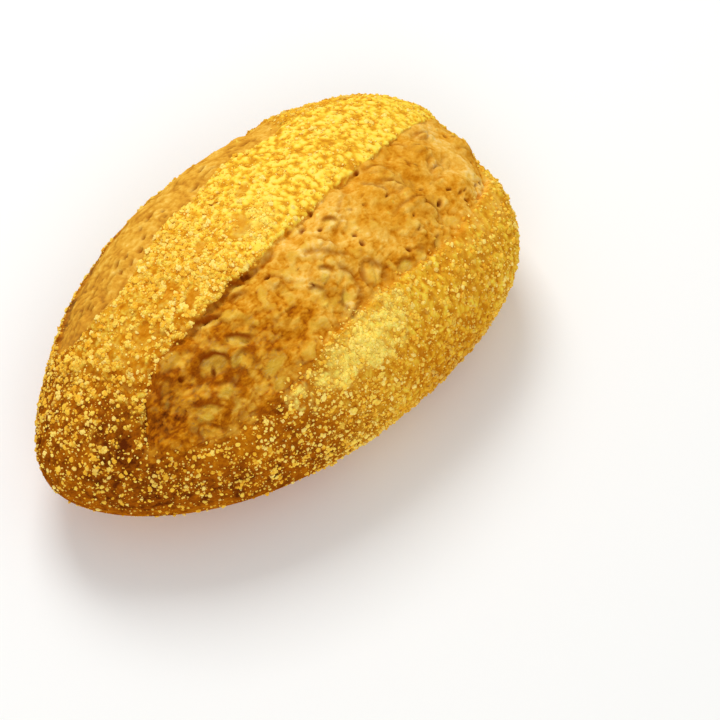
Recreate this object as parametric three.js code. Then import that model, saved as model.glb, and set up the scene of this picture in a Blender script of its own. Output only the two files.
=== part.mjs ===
// Cornmeal bread: an oval loaf, rolled in coarse cornmeal, slashed twice along its length
// and baked on a flat oven floor. The slashes opened into two bare, torn blooms with a
// strip of meal-covered crust left standing between them.
//
// Millimetres, +Z up. The origin is on the sole, under the middle of the loaf.
// +X runs along the loaf to its blunt end. -Y is the flank below the wide bloom.
import * as THREE from 'three';

// ---- Size of the loaf ----
const LENGTH = 250; // of the mean outline, before its swells
const WIDTH = 148; // of the mean outline; the blunt end is wider
const HEIGHT = 89; // to the crest of the dough, under the strip
const WAIST = 34; // height of the widest line
const SAG = 17; // how far the round underside is pressed flat by the oven floor
const BLUNTNESS = 0.1; // extra width at the blunt end, as a share of WIDTH
const PLAN_POWER = 1.87; // 2 is an ellipse in plan, less is leaner at the ends
const DOME_POWER = 2.05; // the same for the section, where more than 2 is boxier
const SOLE_ROUNDING = 5; // softens the edge between flank and sole

// Slow swells of the outline: waves round the plan, and their share of its radius.
const OUTLINE_SWELLS = [
  { waves: 2, cosine: -0.012, sine: -0.021 },
  { waves: 3, cosine: -0.019, sine: 0.007 },
  { waves: 4, cosine: -0.02, sine: -0.005 },
  { waves: 5, cosine: -0.016, sine: -0.003 },
];

// ---- Slashes and blooms ----
// Along the loaf, s runs from -1 at the narrow end to 1 at the blunt end.
// Across it, w runs from -1 at the far waist over 0 at the crest to 1 at the near waist.
const STRIP = { from: -0.66, to: 0.9, rise: 2.2, fade: 0.12 };
const LEDGE = 0.018; // half the width of the step at a slash, in w
const WIDE_BLOOM = {
  from: -0.75,
  to: 0.96,
  ledgeNarrow: 1.8, // depth below the strip's lip at the narrow end
  ledgeBlunt: 0.9, // and at the blunt end
  ledgeFrom: -0.52, // the s where the ledge starts, level with the strip
  ledgeFull: -0.3, // and where it has its full depth
  lowerStep: 1.8,
  bulge: 2.4,
};
const SIDE_BLOOM = { from: -0.74, to: 0.4, step: 2.2, bulge: 1.6 };
const END_FADE = 0.035; // length in s over which a bloom's ends run out
const LIP = { overhang: 0.4, reach: 3, from: -0.45, to: 0.89 }; // the strip's lip leans over the wide bloom

// The lines of the slashes, in w: their place at mid-loaf, their slant along s, and how they
// turn or rise from one s to another.
const LIP_LINE = { middle: 0.05, slant: -0.23 };
const LIP_NARROW_TURN = { by: 0.38, from: -0.48, length: 0.25 };
const LIP_BLUNT_TURN = { by: -1.05, from: 0.25 };
const FOOT_LINE = { middle: 0.645, narrowRise: 0.18, riseFrom: 0.05, riseTo: -0.5 };
const FOOT_BLUNT_TURN = { by: 0.1, from: 0.7 };
const SIDE_TOP_LINE = { middle: -0.55, slant: -0.2 };
const SIDE_TOP_TURN = { by: -0.22, from: -0.45, length: 0.3 };
const SIDE_FOOT_LINE = { middle: -0.97, narrowRise: 0.05, riseFrom: -0.4, riseTo: -0.8 };

// ---- Unevenness ----
const BLOOM_LUMPS = { height: 0.45, wavelength: 25, waves: 5 };
const DOUGH_LUMPS = { height: 0.3, wavelength: 42, waves: 4 };
// Large blisters and hollows in the wide bloom: place, radius and height in mm.
const BLISTERS = [
  { s: -0.62, w: 0.6, radius: 9, height: -1.6 },
  { s: -0.46, w: 0.44, radius: 8, height: -2.6 },
  { s: -0.35, w: 0.5, radius: 7, height: 1.4 },
  { s: -0.36, w: 0.19, radius: 7, height: -1.6 },
  { s: -0.4, w: 0.32, radius: 7, height: 1.8 },
  { s: -0.27, w: 0.39, radius: 7, height: 1.4 },
  { s: -0.1, w: 0.48, radius: 15, height: 1.2 },
  { s: 0.08, w: 0.53, radius: 9, height: 1.4 },
  { s: 0.35, w: 0.33, radius: 17, height: 1.4 },
  { s: 0.36, w: 0.57, radius: 8, height: -1.2 },
  { s: 0.7, w: 0.32, radius: 14, height: 1.3 },
];

// ---- Mesh ----
const RINGS = 55;
const POLE_CROWDING = 0.6; // 0 spaces the rings evenly, 1 crowds them at the ends
// Steps round a ring, between the lines that follow the slashes.
const STEPS = {
  lowFlank: 6,
  highFlank: 5,
  ledge: 2,
  wideBloom: 19,
  strip: 13,
  sideBloom: 10,
  farFlank: 3,
  sole: 9,
};
const SOLE_EDGE_LIMIT = THREE.MathUtils.degToRad(152);

const { smoothstep, lerp, clamp } = THREE.MathUtils;

// ---- The loaf without its slashes ----

function sectionRadius(s) {
  return Math.pow(1 - Math.pow(Math.min(Math.abs(s), 1), PLAN_POWER), 1 / PLAN_POWER);
}

// The section's superellipse at an angle from the crest, positive on the near side.
function across(angle) {
  const side = Math.sin(angle);
  const up = Math.cos(angle);
  const scale = Math.pow(
    Math.pow(Math.abs(side), DOME_POWER) + Math.pow(Math.abs(up), DOME_POWER),
    -1 / DOME_POWER,
  );
  return { w: side * scale, up: up * scale };
}

function angleOf(w) {
  const up = Math.pow(1 - Math.pow(Math.min(Math.abs(w), 1), DOME_POWER), 1 / DOME_POWER);
  return Math.atan2(w, up);
}

function outlineSwell(s, w) {
  const around = Math.atan2(w, s);
  let swell = 0;
  for (const { waves, cosine, sine } of OUTLINE_SWELLS) {
    swell += cosine * Math.cos(waves * around) + sine * Math.sin(waves * around);
  }
  return swell;
}

// Presses everything below the oven floor flat, with a soft edge.
function pressFlat(z) {
  if (z <= -SOLE_ROUNDING) return 0;
  if (z >= SOLE_ROUNDING) return z;
  return (z + SOLE_ROUNDING) ** 2 / (4 * SOLE_ROUNDING);
}

function doughPoint(s, angle) {
  const { w, up } = across(angle);
  const radius = sectionRadius(s);
  const height = up > 0 ? HEIGHT - WAIST : WAIST + SAG;
  const domeShare = Math.sqrt(Math.max(0, 1 - (Math.max(up, 0) * radius) ** 2));
  const swell = 1 + outlineSwell(s, radius * w) * domeShare;
  return new THREE.Vector3(
    (LENGTH / 2) * s * swell,
    -(WIDTH / 2) * (1 + BLUNTNESS * s) * radius * w * swell,
    pressFlat(WAIST + height * radius * up),
  );
}

// ---- Where the slashes run: the w of each edge at s ----

// How far a line has turned off towards the narrow end, from 0 to 1.
function narrowTurn(s, { from, length }) {
  return clamp((from - s) / length, 0, 1);
}

function narrowRise(s, { narrowRise: rise, riseFrom, riseTo }) {
  return rise * smoothstep(-s, -riseFrom, -riseTo);
}

function stripLip(s) {
  const straight = LIP_LINE.middle + LIP_LINE.slant * s;
  const atNarrowEnd = LIP_NARROW_TURN.by * narrowTurn(s, LIP_NARROW_TURN) ** 3;
  const atBluntEnd = LIP_BLUNT_TURN.by * Math.max(0, s - LIP_BLUNT_TURN.from) ** 3;
  return straight + atNarrowEnd + atBluntEnd;
}

function wideBloomFoot(s) {
  const atBluntEnd = FOOT_BLUNT_TURN.by * Math.max(0, s - FOOT_BLUNT_TURN.from);
  return FOOT_LINE.middle + narrowRise(s, FOOT_LINE) + atBluntEnd;
}

function sideBloomTop(s) {
  const straight = SIDE_TOP_LINE.middle + SIDE_TOP_LINE.slant * s;
  return straight + SIDE_TOP_TURN.by * narrowTurn(s, SIDE_TOP_TURN) ** 2;
}

function sideBloomFoot(s) {
  return SIDE_FOOT_LINE.middle + narrowRise(s, SIDE_FOOT_LINE);
}

// ---- Relief of the slashed surface ----

// Waves of many directions, each a little shorter than the one before.
function lumps(x, y, { height, wavelength, waves }) {
  const goldenAngle = 2.4;
  const shortening = 0.83;
  const phaseStep = 1.7;
  let sum = 0;
  for (let i = 0; i < waves; i += 1) {
    const pitch = (2 * Math.PI) / (wavelength * shortening ** i);
    const along = x * Math.cos(goldenAngle * i) + y * Math.sin(goldenAngle * i);
    sum += Math.sin(pitch * along + phaseStep * i);
  }
  return height * sum;
}

function blisters(s, w, radius) {
  const softness = 0.7; // of a blister's radius, where its bell-shaped swell has dropped to a third
  let sum = 0;
  for (const blister of BLISTERS) {
    const dx = ((s - blister.s) * LENGTH) / 2;
    const dy = ((w - blister.w) * WIDTH * radius) / 2;
    sum += blister.height * Math.exp(-(dx * dx + dy * dy) / (softness * blister.radius) ** 2);
  }
  return sum;
}

function between(value, low, high, soft) {
  return smoothstep(value, low - soft, low + soft) * (1 - smoothstep(value, high - soft, high + soft));
}

// How far the crust stands out from the plain dough, and how far it leans across the loaf.
function relief(s, w, point) {
  const lip = stripLip(s);
  const foot = wideBloomFoot(s);
  const top = sideBloomTop(s);
  const far = sideBloomFoot(s);
  const radius = sectionRadius(s);

  const wide = between(w, lip, foot, LEDGE) * between(s, WIDE_BLOOM.from, WIDE_BLOOM.to, END_FADE);
  const side = between(w, far, top, LEDGE) * between(s, SIDE_BLOOM.from, SIDE_BLOOM.to, END_FADE);
  const strip = between(w, top, lip, LEDGE) * between(s, STRIP.from, STRIP.to, STRIP.fade);

  const u = clamp((w - lip) / (foot - lip), 0, 1);
  const ledgeStart = smoothstep(s, WIDE_BLOOM.ledgeFrom, WIDE_BLOOM.ledgeFull);
  const fullLedge = lerp(WIDE_BLOOM.ledgeNarrow, WIDE_BLOOM.ledgeBlunt, smoothstep(s, -0.2, 0.5));
  const ledge = fullLedge * ledgeStart;
  const wideFloor =
    (STRIP.rise - ledge) * (1 - u) ** 2 -
    WIDE_BLOOM.lowerStep * u ** 2 +
    WIDE_BLOOM.bulge * 2 * u * (1 - u) +
    blisters(s, w, radius);
  const v = clamp((w - far) / (top - far), 0, 1);
  const sideFloor = -SIDE_BLOOM.step + SIDE_BLOOM.bulge * 4 * v * (1 - v);

  const torn = Math.max(wide, side);
  const fadeAtWaist = 1 - Math.abs(w) ** 8;
  const out =
    STRIP.rise * strip +
    wideFloor * wide +
    sideFloor * side +
    lumps(point.x, point.y, BLOOM_LUMPS) * torn +
    lumps(point.x, point.y + point.z, DOUGH_LUMPS) * fadeAtWaist;
  const onLip = 1 - Math.min(1, Math.abs(w - lip + LEDGE) / (LIP.reach * LEDGE));
  const lean = LIP.overhang * onLip * between(s, LIP.from, LIP.to, END_FADE);
  return { out, lean };
}

function crustPoint(s, angle) {
  const point = doughPoint(s, angle);
  const { w, up } = across(angle);
  if (up <= 0) return point;
  const nudge = 1e-3;
  const alongLoaf = doughPoint(s + nudge, angle).sub(doughPoint(s - nudge, angle));
  const acrossLoaf = doughPoint(s, angle + nudge).sub(doughPoint(s, angle - nudge));
  const outward = new THREE.Vector3().crossVectors(acrossLoaf, alongLoaf).normalize();
  const { out, lean } = relief(s, w, point);
  return point.addScaledVector(outward, out).addScaledVector(acrossLoaf.normalize(), lean);
}

// ---- Mesh of rings across the loaf ----

// The angle at which the underside meets the oven floor, where it does.
function soleEdge(s) {
  const up = (WAIST + SOLE_ROUNDING) / ((WAIST + SAG) * sectionRadius(s));
  if (up >= 1) return SOLE_EDGE_LIMIT;
  const w = Math.pow(1 - Math.pow(up, DOME_POWER), 1 / DOME_POWER);
  return Math.min(SOLE_EDGE_LIMIT, Math.PI - Math.atan2(w, up));
}

// Angles round a ring: up the near flank, over the crest and down, then back under the sole.
function ringAngles(s) {
  const edge = soleEdge(s);
  const stops = [
    [edge, STEPS.lowFlank],
    [Math.PI / 2, STEPS.highFlank],
    [angleOf(wideBloomFoot(s) + LEDGE), STEPS.ledge],
    [angleOf(wideBloomFoot(s) - LEDGE), STEPS.wideBloom],
    [angleOf(stripLip(s) + LEDGE), STEPS.ledge],
    [angleOf(stripLip(s) - LEDGE), STEPS.strip],
    [angleOf(sideBloomTop(s) + LEDGE), STEPS.ledge],
    [angleOf(sideBloomTop(s) - LEDGE), STEPS.sideBloom],
    [angleOf(sideBloomFoot(s)), STEPS.farFlank],
    [-Math.PI / 2, STEPS.lowFlank],
    [-edge, STEPS.sole],
  ];
  const angles = [];
  stops.forEach(([start, steps], i) => {
    const end = i + 1 < stops.length ? stops[i + 1][0] : edge - 2 * Math.PI;
    for (let k = 0; k < steps; k += 1) angles.push(lerp(start, end, k / steps));
  });
  return angles;
}

function ringPlace(i) {
  const even = (2 * i) / (RINGS + 1) - 1;
  const crowded = -Math.cos((Math.PI * i) / (RINGS + 1));
  return lerp(even, crowded, POLE_CROWDING);
}

function loafGeometry() {
  const positions = [];
  const triangles = [];
  let around = 0;
  for (let i = 1; i <= RINGS; i += 1) {
    const s = ringPlace(i);
    const angles = ringAngles(s);
    around = angles.length;
    for (const angle of angles) positions.push(...crustPoint(s, angle).toArray());
  }
  const narrowTip = RINGS * around;
  const bluntTip = narrowTip + 1;
  positions.push(...doughPoint(-1, 0).toArray());
  positions.push(...doughPoint(1, 0).toArray());

  for (let k = 0; k < around; k += 1) {
    const next = (k + 1) % around;
    triangles.push(narrowTip, k, next);
    for (let i = 0; i + 1 < RINGS; i += 1) {
      const a = i * around + k;
      const b = i * around + next;
      triangles.push(a, a + around, b + around, a, b + around, b);
    }
    const last = (RINGS - 1) * around;
    triangles.push(last + k, bluntTip, last + next);
  }

  const geometry = new THREE.BufferGeometry();
  geometry.setAttribute('position', new THREE.Float32BufferAttribute(positions, 3));
  geometry.setIndex(triangles);
  return geometry;
}

// Sets the finished loaf so that the middle of its box is over the origin.
function centred(geometry) {
  geometry.computeBoundingBox();
  const middle = geometry.boundingBox.getCenter(new THREE.Vector3());
  geometry.translate(-middle.x, -middle.y, 0);
  geometry.computeVertexNormals();
  return geometry;
}

const crust = new THREE.MeshStandardMaterial({ color: 0xd9963c, roughness: 0.8, metalness: 0 });
const loaf = new THREE.Mesh(centred(loafGeometry()), crust);
loaf.name = 'loaf';

const bread = new THREE.Group();
bread.add(loaf);

export default bread;
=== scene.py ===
# %% [markdown]
# # A loaf of cornmeal bread
#
# The real loaf is a plain dough rolled in coarse cornmeal, slashed twice along its length and
# baked on the oven floor. Where the blade went the dough tore open into two bare blooms, and
# between them stands a strip of crust under its coat of meal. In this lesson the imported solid
# gives the size and the place, one fine mesh gives the crust and its torn crumb, and four joined
# meshes of separate grains give the meal. Everything is worked out by arrays from a few sizes in
# millimetres, so nothing depends on a hidden file or on chance.

import bmesh
import bpy
import numpy as np
from mathutils import Matrix, Vector, noise


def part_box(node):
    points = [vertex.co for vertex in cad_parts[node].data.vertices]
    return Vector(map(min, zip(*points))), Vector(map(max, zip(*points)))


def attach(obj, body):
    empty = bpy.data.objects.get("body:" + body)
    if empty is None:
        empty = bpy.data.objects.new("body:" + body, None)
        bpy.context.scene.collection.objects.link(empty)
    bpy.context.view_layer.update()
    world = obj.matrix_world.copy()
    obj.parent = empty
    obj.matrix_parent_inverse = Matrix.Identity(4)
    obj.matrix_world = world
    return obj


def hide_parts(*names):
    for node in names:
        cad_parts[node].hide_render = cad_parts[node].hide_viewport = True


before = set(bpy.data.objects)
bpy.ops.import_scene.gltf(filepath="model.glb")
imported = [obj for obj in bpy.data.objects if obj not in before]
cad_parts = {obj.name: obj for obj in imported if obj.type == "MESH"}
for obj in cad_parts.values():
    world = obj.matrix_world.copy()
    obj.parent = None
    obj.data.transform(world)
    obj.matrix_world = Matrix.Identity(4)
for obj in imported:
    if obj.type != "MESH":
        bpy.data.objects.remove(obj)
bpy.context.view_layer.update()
MM = 0.001
solid_low, solid_high = (np.array(corner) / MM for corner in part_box("loaf"))
solid_middle = (solid_low + solid_high) / 2
print("solid loaf, mm:", (solid_high - solid_low).round(1))

# %% [markdown]
# ## Small helpers
#
# Colours are written as the hex values a colour picker shows. Those are sRGB, and shaders want
# linear light, so one function turns them. A node tree is easier to read when each node is one
# call with its settings and its links, so one more function does only that. The rest of the
# lesson draws with four curves: a soft step, a soft band, a soft peak and a mix of two values.
# Wherever they are used below, their numbers are places along the loaf, across it or on a scale
# of noise, and a number in front of a field is its weight in the sum.

# %% Colour and node helpers


def linear(hex_colour):
    """An sRGB hex colour as linear RGBA."""
    srgb = np.array([int(hex_colour[i : i + 2], 16) for i in (1, 3, 5)]) / 255
    rgb = np.where(srgb <= 0.04045, srgb / 12.92, ((srgb + 0.055) / 1.055) ** 2.4)
    return (*rgb, 1.0)


def add_node(material, kind, settings=(), out=0, **inputs):
    """One output of a new node, whose inputs are set to numbers or linked to other outputs.

    An input goes by its name, or by in_0, in_1 where names repeat. The setting `stops` is for a
    colour ramp: its places, from 0 to 1, with their hex colours.
    """
    node = material.node_tree.nodes.new("ShaderNode" + kind)
    settings = dict(settings)
    stops = settings.pop("stops", {})
    for place in list(stops)[1:-1]:
        node.color_ramp.elements.new(place)
    if stops:
        for element, colour in zip(node.color_ramp.elements, stops.values()):
            element.color = linear(colour)
    for name, value in settings.items():
        setattr(node, name, value)
    for name, value in inputs.items():
        key = int(name[3:]) if name.startswith("in_") else name.replace("_", " ")
        socket = node.inputs[key]
        if isinstance(value, bpy.types.NodeSocket):
            material.node_tree.links.new(value, socket)
        else:
            socket.default_value = value
    return node.outputs[out] if node.outputs else None


print("crust gold in linear light:", np.round(linear("#E19D2A"), 3))

# %% Curves to draw with


def smoothstep(value, start, end):
    """0 up to `start`, 1 past `end` and a soft step between them; `end` may be the lower one."""
    t = np.clip((value - start) / (end - start), 0, 1)
    return t * t * (3 - 2 * t)


def between(value, low, high, soft):
    """1 between two limits, fading to 0 over `soft` on either side of each."""
    return smoothstep(value, low - soft, low + soft) * (1 - smoothstep(value, high - soft, high + soft))


def peak(value, middle, width):
    """1 where `value` is `middle`, falling off as a bell."""
    return np.exp(-(((value - middle) / width) ** 2))


def mix(a, b, share):
    return a + (b - a) * share


print("a soft step:", smoothstep(np.linspace(0, 1, 5), 0, 1).round(2))

# %% [markdown]
# ## The shape of the loaf
#
# The dough is an egg-shaped dome. Along it `s` runs from -1 at the narrow end to 1 at the blunt
# end. Across it `w` runs from -1 at the far waist over 0 at the crest to 1 at the near waist.
# A superellipse in both directions, with a few slow swells, could also be sculpted or subdivided
# from a cage. The formula was chosen because the solid was made from it too, so the fine crust
# lies on the solid everywhere, and because `s` and `w` later say where each slash, seed and
# patch of meal goes.

# %% Sizes of the dough, in millimetres
LENGTH, WIDTH, HEIGHT = 250, 148, 89
WAIST, SAG, SOLE_ROUNDING = 34, 17, 5
BLUNTNESS, PLAN_POWER, DOME_POWER = 0.1, 1.87, 2.05
# Waves round the plan, each with its cosine and its sine share of the radius.
OUTLINE_SWELLS = {2: (-0.012, -0.021), 3: (-0.019, 0.007), 4: (-0.02, -0.005), 5: (-0.016, -0.003)}
print("waves round the outline:", len(OUTLINE_SWELLS))

# %% Points of the dough


def section_radius(s):
    return (1 - np.minimum(np.abs(s), 1) ** PLAN_POWER) ** (1 / PLAN_POWER)


def across(angle):
    """The section's w and height share at an angle from the crest, positive on the near side."""
    side, up = np.sin(angle), np.cos(angle)
    scale = (np.abs(side) ** DOME_POWER + np.abs(up) ** DOME_POWER) ** (-1 / DOME_POWER)
    return side * scale, up * scale


def angle_of(w):
    return np.arctan2(w, (1 - np.minimum(np.abs(w), 1) ** DOME_POWER) ** (1 / DOME_POWER))


def press_flat(z):
    """The oven floor stops the dough, with a soft edge."""
    edge = (z + SOLE_ROUNDING) ** 2 / (4 * SOLE_ROUNDING)
    return np.where(z <= -SOLE_ROUNDING, 0, np.where(z >= SOLE_ROUNDING, z, edge))


def dough_point(s, angle):
    """Points of the dough before it is slashed."""
    w, up = across(angle)
    radius = section_radius(s)
    round_plan = np.arctan2(radius * w, s)
    swell = 0
    for wave, (cosine, sine) in OUTLINE_SWELLS.items():
        swell = swell + (cosine * np.cos(wave * round_plan) + sine * np.sin(wave * round_plan))
    swell = 1 + swell * np.sqrt(np.maximum(0, 1 - (np.maximum(up, 0) * radius) ** 2))
    rise = np.where(up > 0, HEIGHT - WAIST, WAIST + SAG)
    x = LENGTH / 2 * s * swell
    y = -WIDTH / 2 * (1 + BLUNTNESS * s) * radius * w * swell
    return np.stack([x, y, press_flat(WAIST + rise * radius * up)], -1)


print("crest of the dough, mm:", dough_point(np.array(0.0), np.array(0.0)).round(1))

# %% [markdown]
# ## The two slashes
#
# Each slash is described by the `w` of its two edges at every `s`. The strip's near edge is a lip
# that stands over the wide bloom. The dough tore there, so the edge wanders by a millimetre or
# two. A curve drawn by hand would look as torn. The wander is noise sampled along the loaf
# instead, because it can be asked for anywhere and keeps both sides of the cut together.

# %% Lines of the slashes
LIP_LINE = {"middle": 0.05, "slant": -0.23}
LIP_NARROW_TURN = {"by": 0.38, "from": -0.48, "length": 0.25}
LIP_BLUNT_TURN = {"by": -1.05, "from": 0.25}
FOOT_LINE = {"middle": 0.645, "narrow_rise": 0.18, "rise_from": 0.05, "rise_to": -0.5}
FOOT_BLUNT_TURN = {"by": 0.1, "from": 0.7}
SIDE_TOP_LINE = {"middle": -0.55, "slant": -0.2}
SIDE_TOP_TURN = {"by": -0.22, "from": -0.45, "length": 0.3}
SIDE_FOOT_LINE = {"middle": -0.97, "narrow_rise": 0.05, "rise_from": -0.4, "rise_to": -0.8}


def turned(s, turn):
    """How far along its turn towards the narrow end a line is, from 0 to 1."""
    return np.clip((turn["from"] - s) / turn["length"], 0, 1)


def narrow_rise(s, line):
    return line["narrow_rise"] * smoothstep(s, line["rise_from"], line["rise_to"])


def strip_lip(s):
    line = LIP_LINE["middle"] + LIP_LINE["slant"] * s
    line = line + LIP_NARROW_TURN["by"] * turned(s, LIP_NARROW_TURN) ** 3
    return line + LIP_BLUNT_TURN["by"] * np.maximum(0, s - LIP_BLUNT_TURN["from"]) ** 3


def wide_foot(s):
    line = FOOT_LINE["middle"] + narrow_rise(s, FOOT_LINE)
    return line + FOOT_BLUNT_TURN["by"] * np.maximum(0, s - FOOT_BLUNT_TURN["from"])


def side_top(s):
    line = SIDE_TOP_LINE["middle"] + SIDE_TOP_LINE["slant"] * s
    return line + SIDE_TOP_TURN["by"] * turned(s, SIDE_TOP_TURN) ** 2


def side_foot(s):
    return SIDE_FOOT_LINE["middle"] + narrow_rise(s, SIDE_FOOT_LINE)


print("lip at mid-loaf, w:", strip_lip(0.0))

# %% Torn edges
# Each wander of an edge: how far in w, how long in mm, and its row in the noise.
WANDERS = {
    "lip": ((0.018, 13, 1.5), (0.012, 3.5, 7.5)),
    "foot": ((0.022, 17, 2.5), (0.014, 4, 8.5)),
    "top": ((0.025, 16, 3.5), (0.012, 4, 9.5)),
    "far": ((0.015, 15, 4.5),),
}


def wander(s, size, row):
    """How far a torn edge strays, from about -1 to 1, with turns about `size` mm long."""
    flat = np.ravel(s) * LENGTH / 2 / size
    values = [noise.noise(Vector((x, row, 0.5 * row))) for x in flat]
    return np.reshape(values, np.shape(s))


def torn_edges(s):
    """The four edges at each ring, with their wander."""
    torn_lines = {"lip": strip_lip(s), "foot": wide_foot(s), "top": side_top(s), "far": side_foot(s)}
    for name, wanders in WANDERS.items():
        for reach, size, row in wanders:
            torn_lines[name] = torn_lines[name] + reach * wander(s, size, row)
    return torn_lines


print("torn edges:", ", ".join(WANDERS))

# %% [markdown]
# ## A grid of rings
#
# The crust is one mesh of rings across the loaf. A subdivided and sculpted mesh would have even
# faces, which are wasted on the sole and too few on the torn crumb. So each ring has fixed lines
# along the slashes and its own number of steps between them. The export keeps a piece whole up
# to 200,000 triangles, and this grid stays just under that.

# %% Lay out the grid
RINGS = 380
POLE_CROWDING = 0.2  # how much closer the rings stand towards the ends
LEDGE = 0.014  # half the width of the step at a slash, in w
# Steps up the near flank, over the crest, down the far flank and back under the sole.
STEPS = [16, 34, 4, 92, 4, 48, 3, 32, 6, 12, 9]
SOLE_EDGE_LIMIT = np.radians(152)


def sole_edge(s):
    """The angle at which the underside meets the oven floor."""
    up = np.minimum((WAIST + SOLE_ROUNDING) / ((WAIST + SAG) * section_radius(s)), 1)
    w = (1 - up**DOME_POWER) ** (1 / DOME_POWER)
    return np.minimum(SOLE_EDGE_LIMIT, np.pi - np.arctan2(w, up))


def ring_angles(s, edges):
    """Angles round each ring, with a fixed line on both sides of every torn edge."""
    sole = sole_edge(s)
    quarter = np.full_like(s, np.pi / 2)
    lines = [sole, quarter]
    for name in ("foot", "lip", "top"):
        lines += [angle_of(edges[name] + LEDGE), angle_of(edges[name] - LEDGE)]
    lines += [angle_of(edges["far"]), -quarter, -sole, sole - 2 * np.pi]
    spans = []
    for start, end, steps in zip(lines, lines[1:], STEPS):
        spans.append(start[:, None] + (end - start)[:, None] * np.arange(steps) / steps)
    return np.concatenate(spans, 1)


ring_share = np.arange(1, RINGS + 1) / (RINGS + 1)
ring_s = mix(2 * ring_share - 1, -np.cos(np.pi * ring_share), POLE_CROWDING)
edges = torn_edges(ring_s)
angles = ring_angles(ring_s, edges)
s_grid = np.repeat(ring_s[:, None], angles.shape[1], 1)
w_grid, up_grid = across(angles)
on_dome = up_grid > 0
edge_grid = {name: np.repeat(edge[:, None], angles.shape[1], 1) for name, edge in edges.items()}
print("rings and points round each:", angles.shape)

# %% [markdown]
# ## Raised strip and sunken blooms
#
# The same relief as the solid's: the strip stands a little proud, the wide bloom drops below its
# lip and swells again in its middle, and the side bloom is a shallow dish. A displacement
# modifier could raise and lower them, but the lip also leans outwards over the bloom, which a
# plain height field can't do. So the heights are worked out here and the lip is moved across
# the loaf as well.

# %% Helpers for relief
# From each wave to the next: its turn in radians, its length as a share, and its shift.
WAVE_TURN, WAVE_SHORTENING, WAVE_SHIFT = 2.4, 0.83, 1.7


def grid_normals(points):
    """Unit normals of a grid of rings, which closes on itself round each ring."""
    wrapped = np.concatenate([points[:, -1:], points, points[:, :1]], 1)
    round_ring = wrapped[:, 2:] - wrapped[:, :-2]
    along = np.gradient(points, axis=0)
    normals = np.cross(along, round_ring)
    return normals / np.maximum(np.linalg.norm(normals, axis=-1, keepdims=True), 1e-9)


def waves(x, y, height, wavelength, count):
    """The solid's unevenness: waves of many directions, each shorter than the one before."""
    total = 0
    for i in range(count):
        direction = WAVE_TURN * i
        along = x * np.cos(direction) + y * np.sin(direction)
        total = total + np.sin(2 * np.pi / (wavelength * WAVE_SHORTENING**i) * along + WAVE_SHIFT * i)
    return height * total


dough = dough_point(s_grid, angles)
print("dough without slashes, mm:", np.ptp(dough.reshape(-1, 3), axis=0).round(1))

# %% Masks of the strip and the blooms
STRIP = {"from": -0.66, "to": 0.9, "rise": 2.2, "fade": 0.12}
WIDE = {"from": -0.75, "to": 0.96, "narrow": 1.8, "blunt": 0.9, "lower": 1.8, "bulge": 2.4}
SIDE = {"from": -0.74, "to": 0.4, "step": 2.2, "bulge": 1.6}
END_FADE = 0.035
ROUND_NARROW, ROUND_BLUNT = 0.14, 0.05
RAGGED_BY, RAGGED_SIZE = 0.035, 7


def torn_end(share, row):
    """`s` moved so that a tear's ends are round and ragged; `share` is the place across it."""
    flat = (dough.reshape(-1, 3) / RAGGED_SIZE + row).tolist()
    ragged = np.reshape([noise.fractal(place, 1.0, 2.0, 3) for place in flat], s_grid.shape)
    roundness = np.where(s_grid < 0, ROUND_NARROW, ROUND_BLUNT)
    return s_grid + (roundness * (2 * share - 1) ** 4 + RAGGED_BY * ragged) * np.sign(s_grid)


def from_end_to_end(s, band, fade):
    return between(s, band["from"], band["to"], fade) * on_dome


lip, foot, top, far = (edge_grid[name] for name in ("lip", "foot", "top", "far"))
across_wide = np.clip((w_grid - lip) / (foot - lip), 0, 1)
across_side = np.clip((w_grid - far) / (top - far), 0, 1)
wide = between(w_grid, lip, foot, LEDGE) * from_end_to_end(torn_end(across_wide, 5.1), WIDE, END_FADE)
side = between(w_grid, far, top, LEDGE) * from_end_to_end(torn_end(across_side, 9.4), SIDE, END_FADE)
strip = between(w_grid, top, lip, LEDGE) * from_end_to_end(s_grid, STRIP, STRIP["fade"])
torn = np.maximum(wide, side)
print("share of the dome that is torn:", torn[on_dome].mean().round(2))

# %% Height of the strip and the blooms
LEDGE_TURN = (-0.2, 0.5)  # the s over which the ledge loses its narrow end's depth
LEDGE_START = (-0.52, -0.3)  # the s over which it drops below the strip
BLOOM_LUMPS = {"height": 0.45, "wavelength": 25, "count": 5}
DOUGH_LUMPS = {"height": 0.3, "wavelength": 42, "count": 4}
ledge = mix(WIDE["narrow"], WIDE["blunt"], smoothstep(s_grid, *LEDGE_TURN))
ledge *= smoothstep(s_grid, *LEDGE_START)
wide_floor = (STRIP["rise"] - ledge) * (1 - across_wide) ** 2 - WIDE["lower"] * across_wide**2
wide_floor += WIDE["bulge"] * 2 * across_wide * (1 - across_wide)
side_floor = -SIDE["step"] + SIDE["bulge"] * 4 * across_side * (1 - across_side)
relief = STRIP["rise"] * strip + wide_floor * wide + side_floor * side
relief += waves(dough[..., 0], dough[..., 1], **BLOOM_LUMPS) * (wide + 0.4 * side)
dough_lumps = waves(dough[..., 0], dough[..., 1] + dough[..., 2], **DOUGH_LUMPS)
relief += dough_lumps * (1 - np.abs(w_grid) ** 8) * on_dome
print("relief of the solid, mm:", relief.min().round(1), "to", relief.max().round(1))

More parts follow.
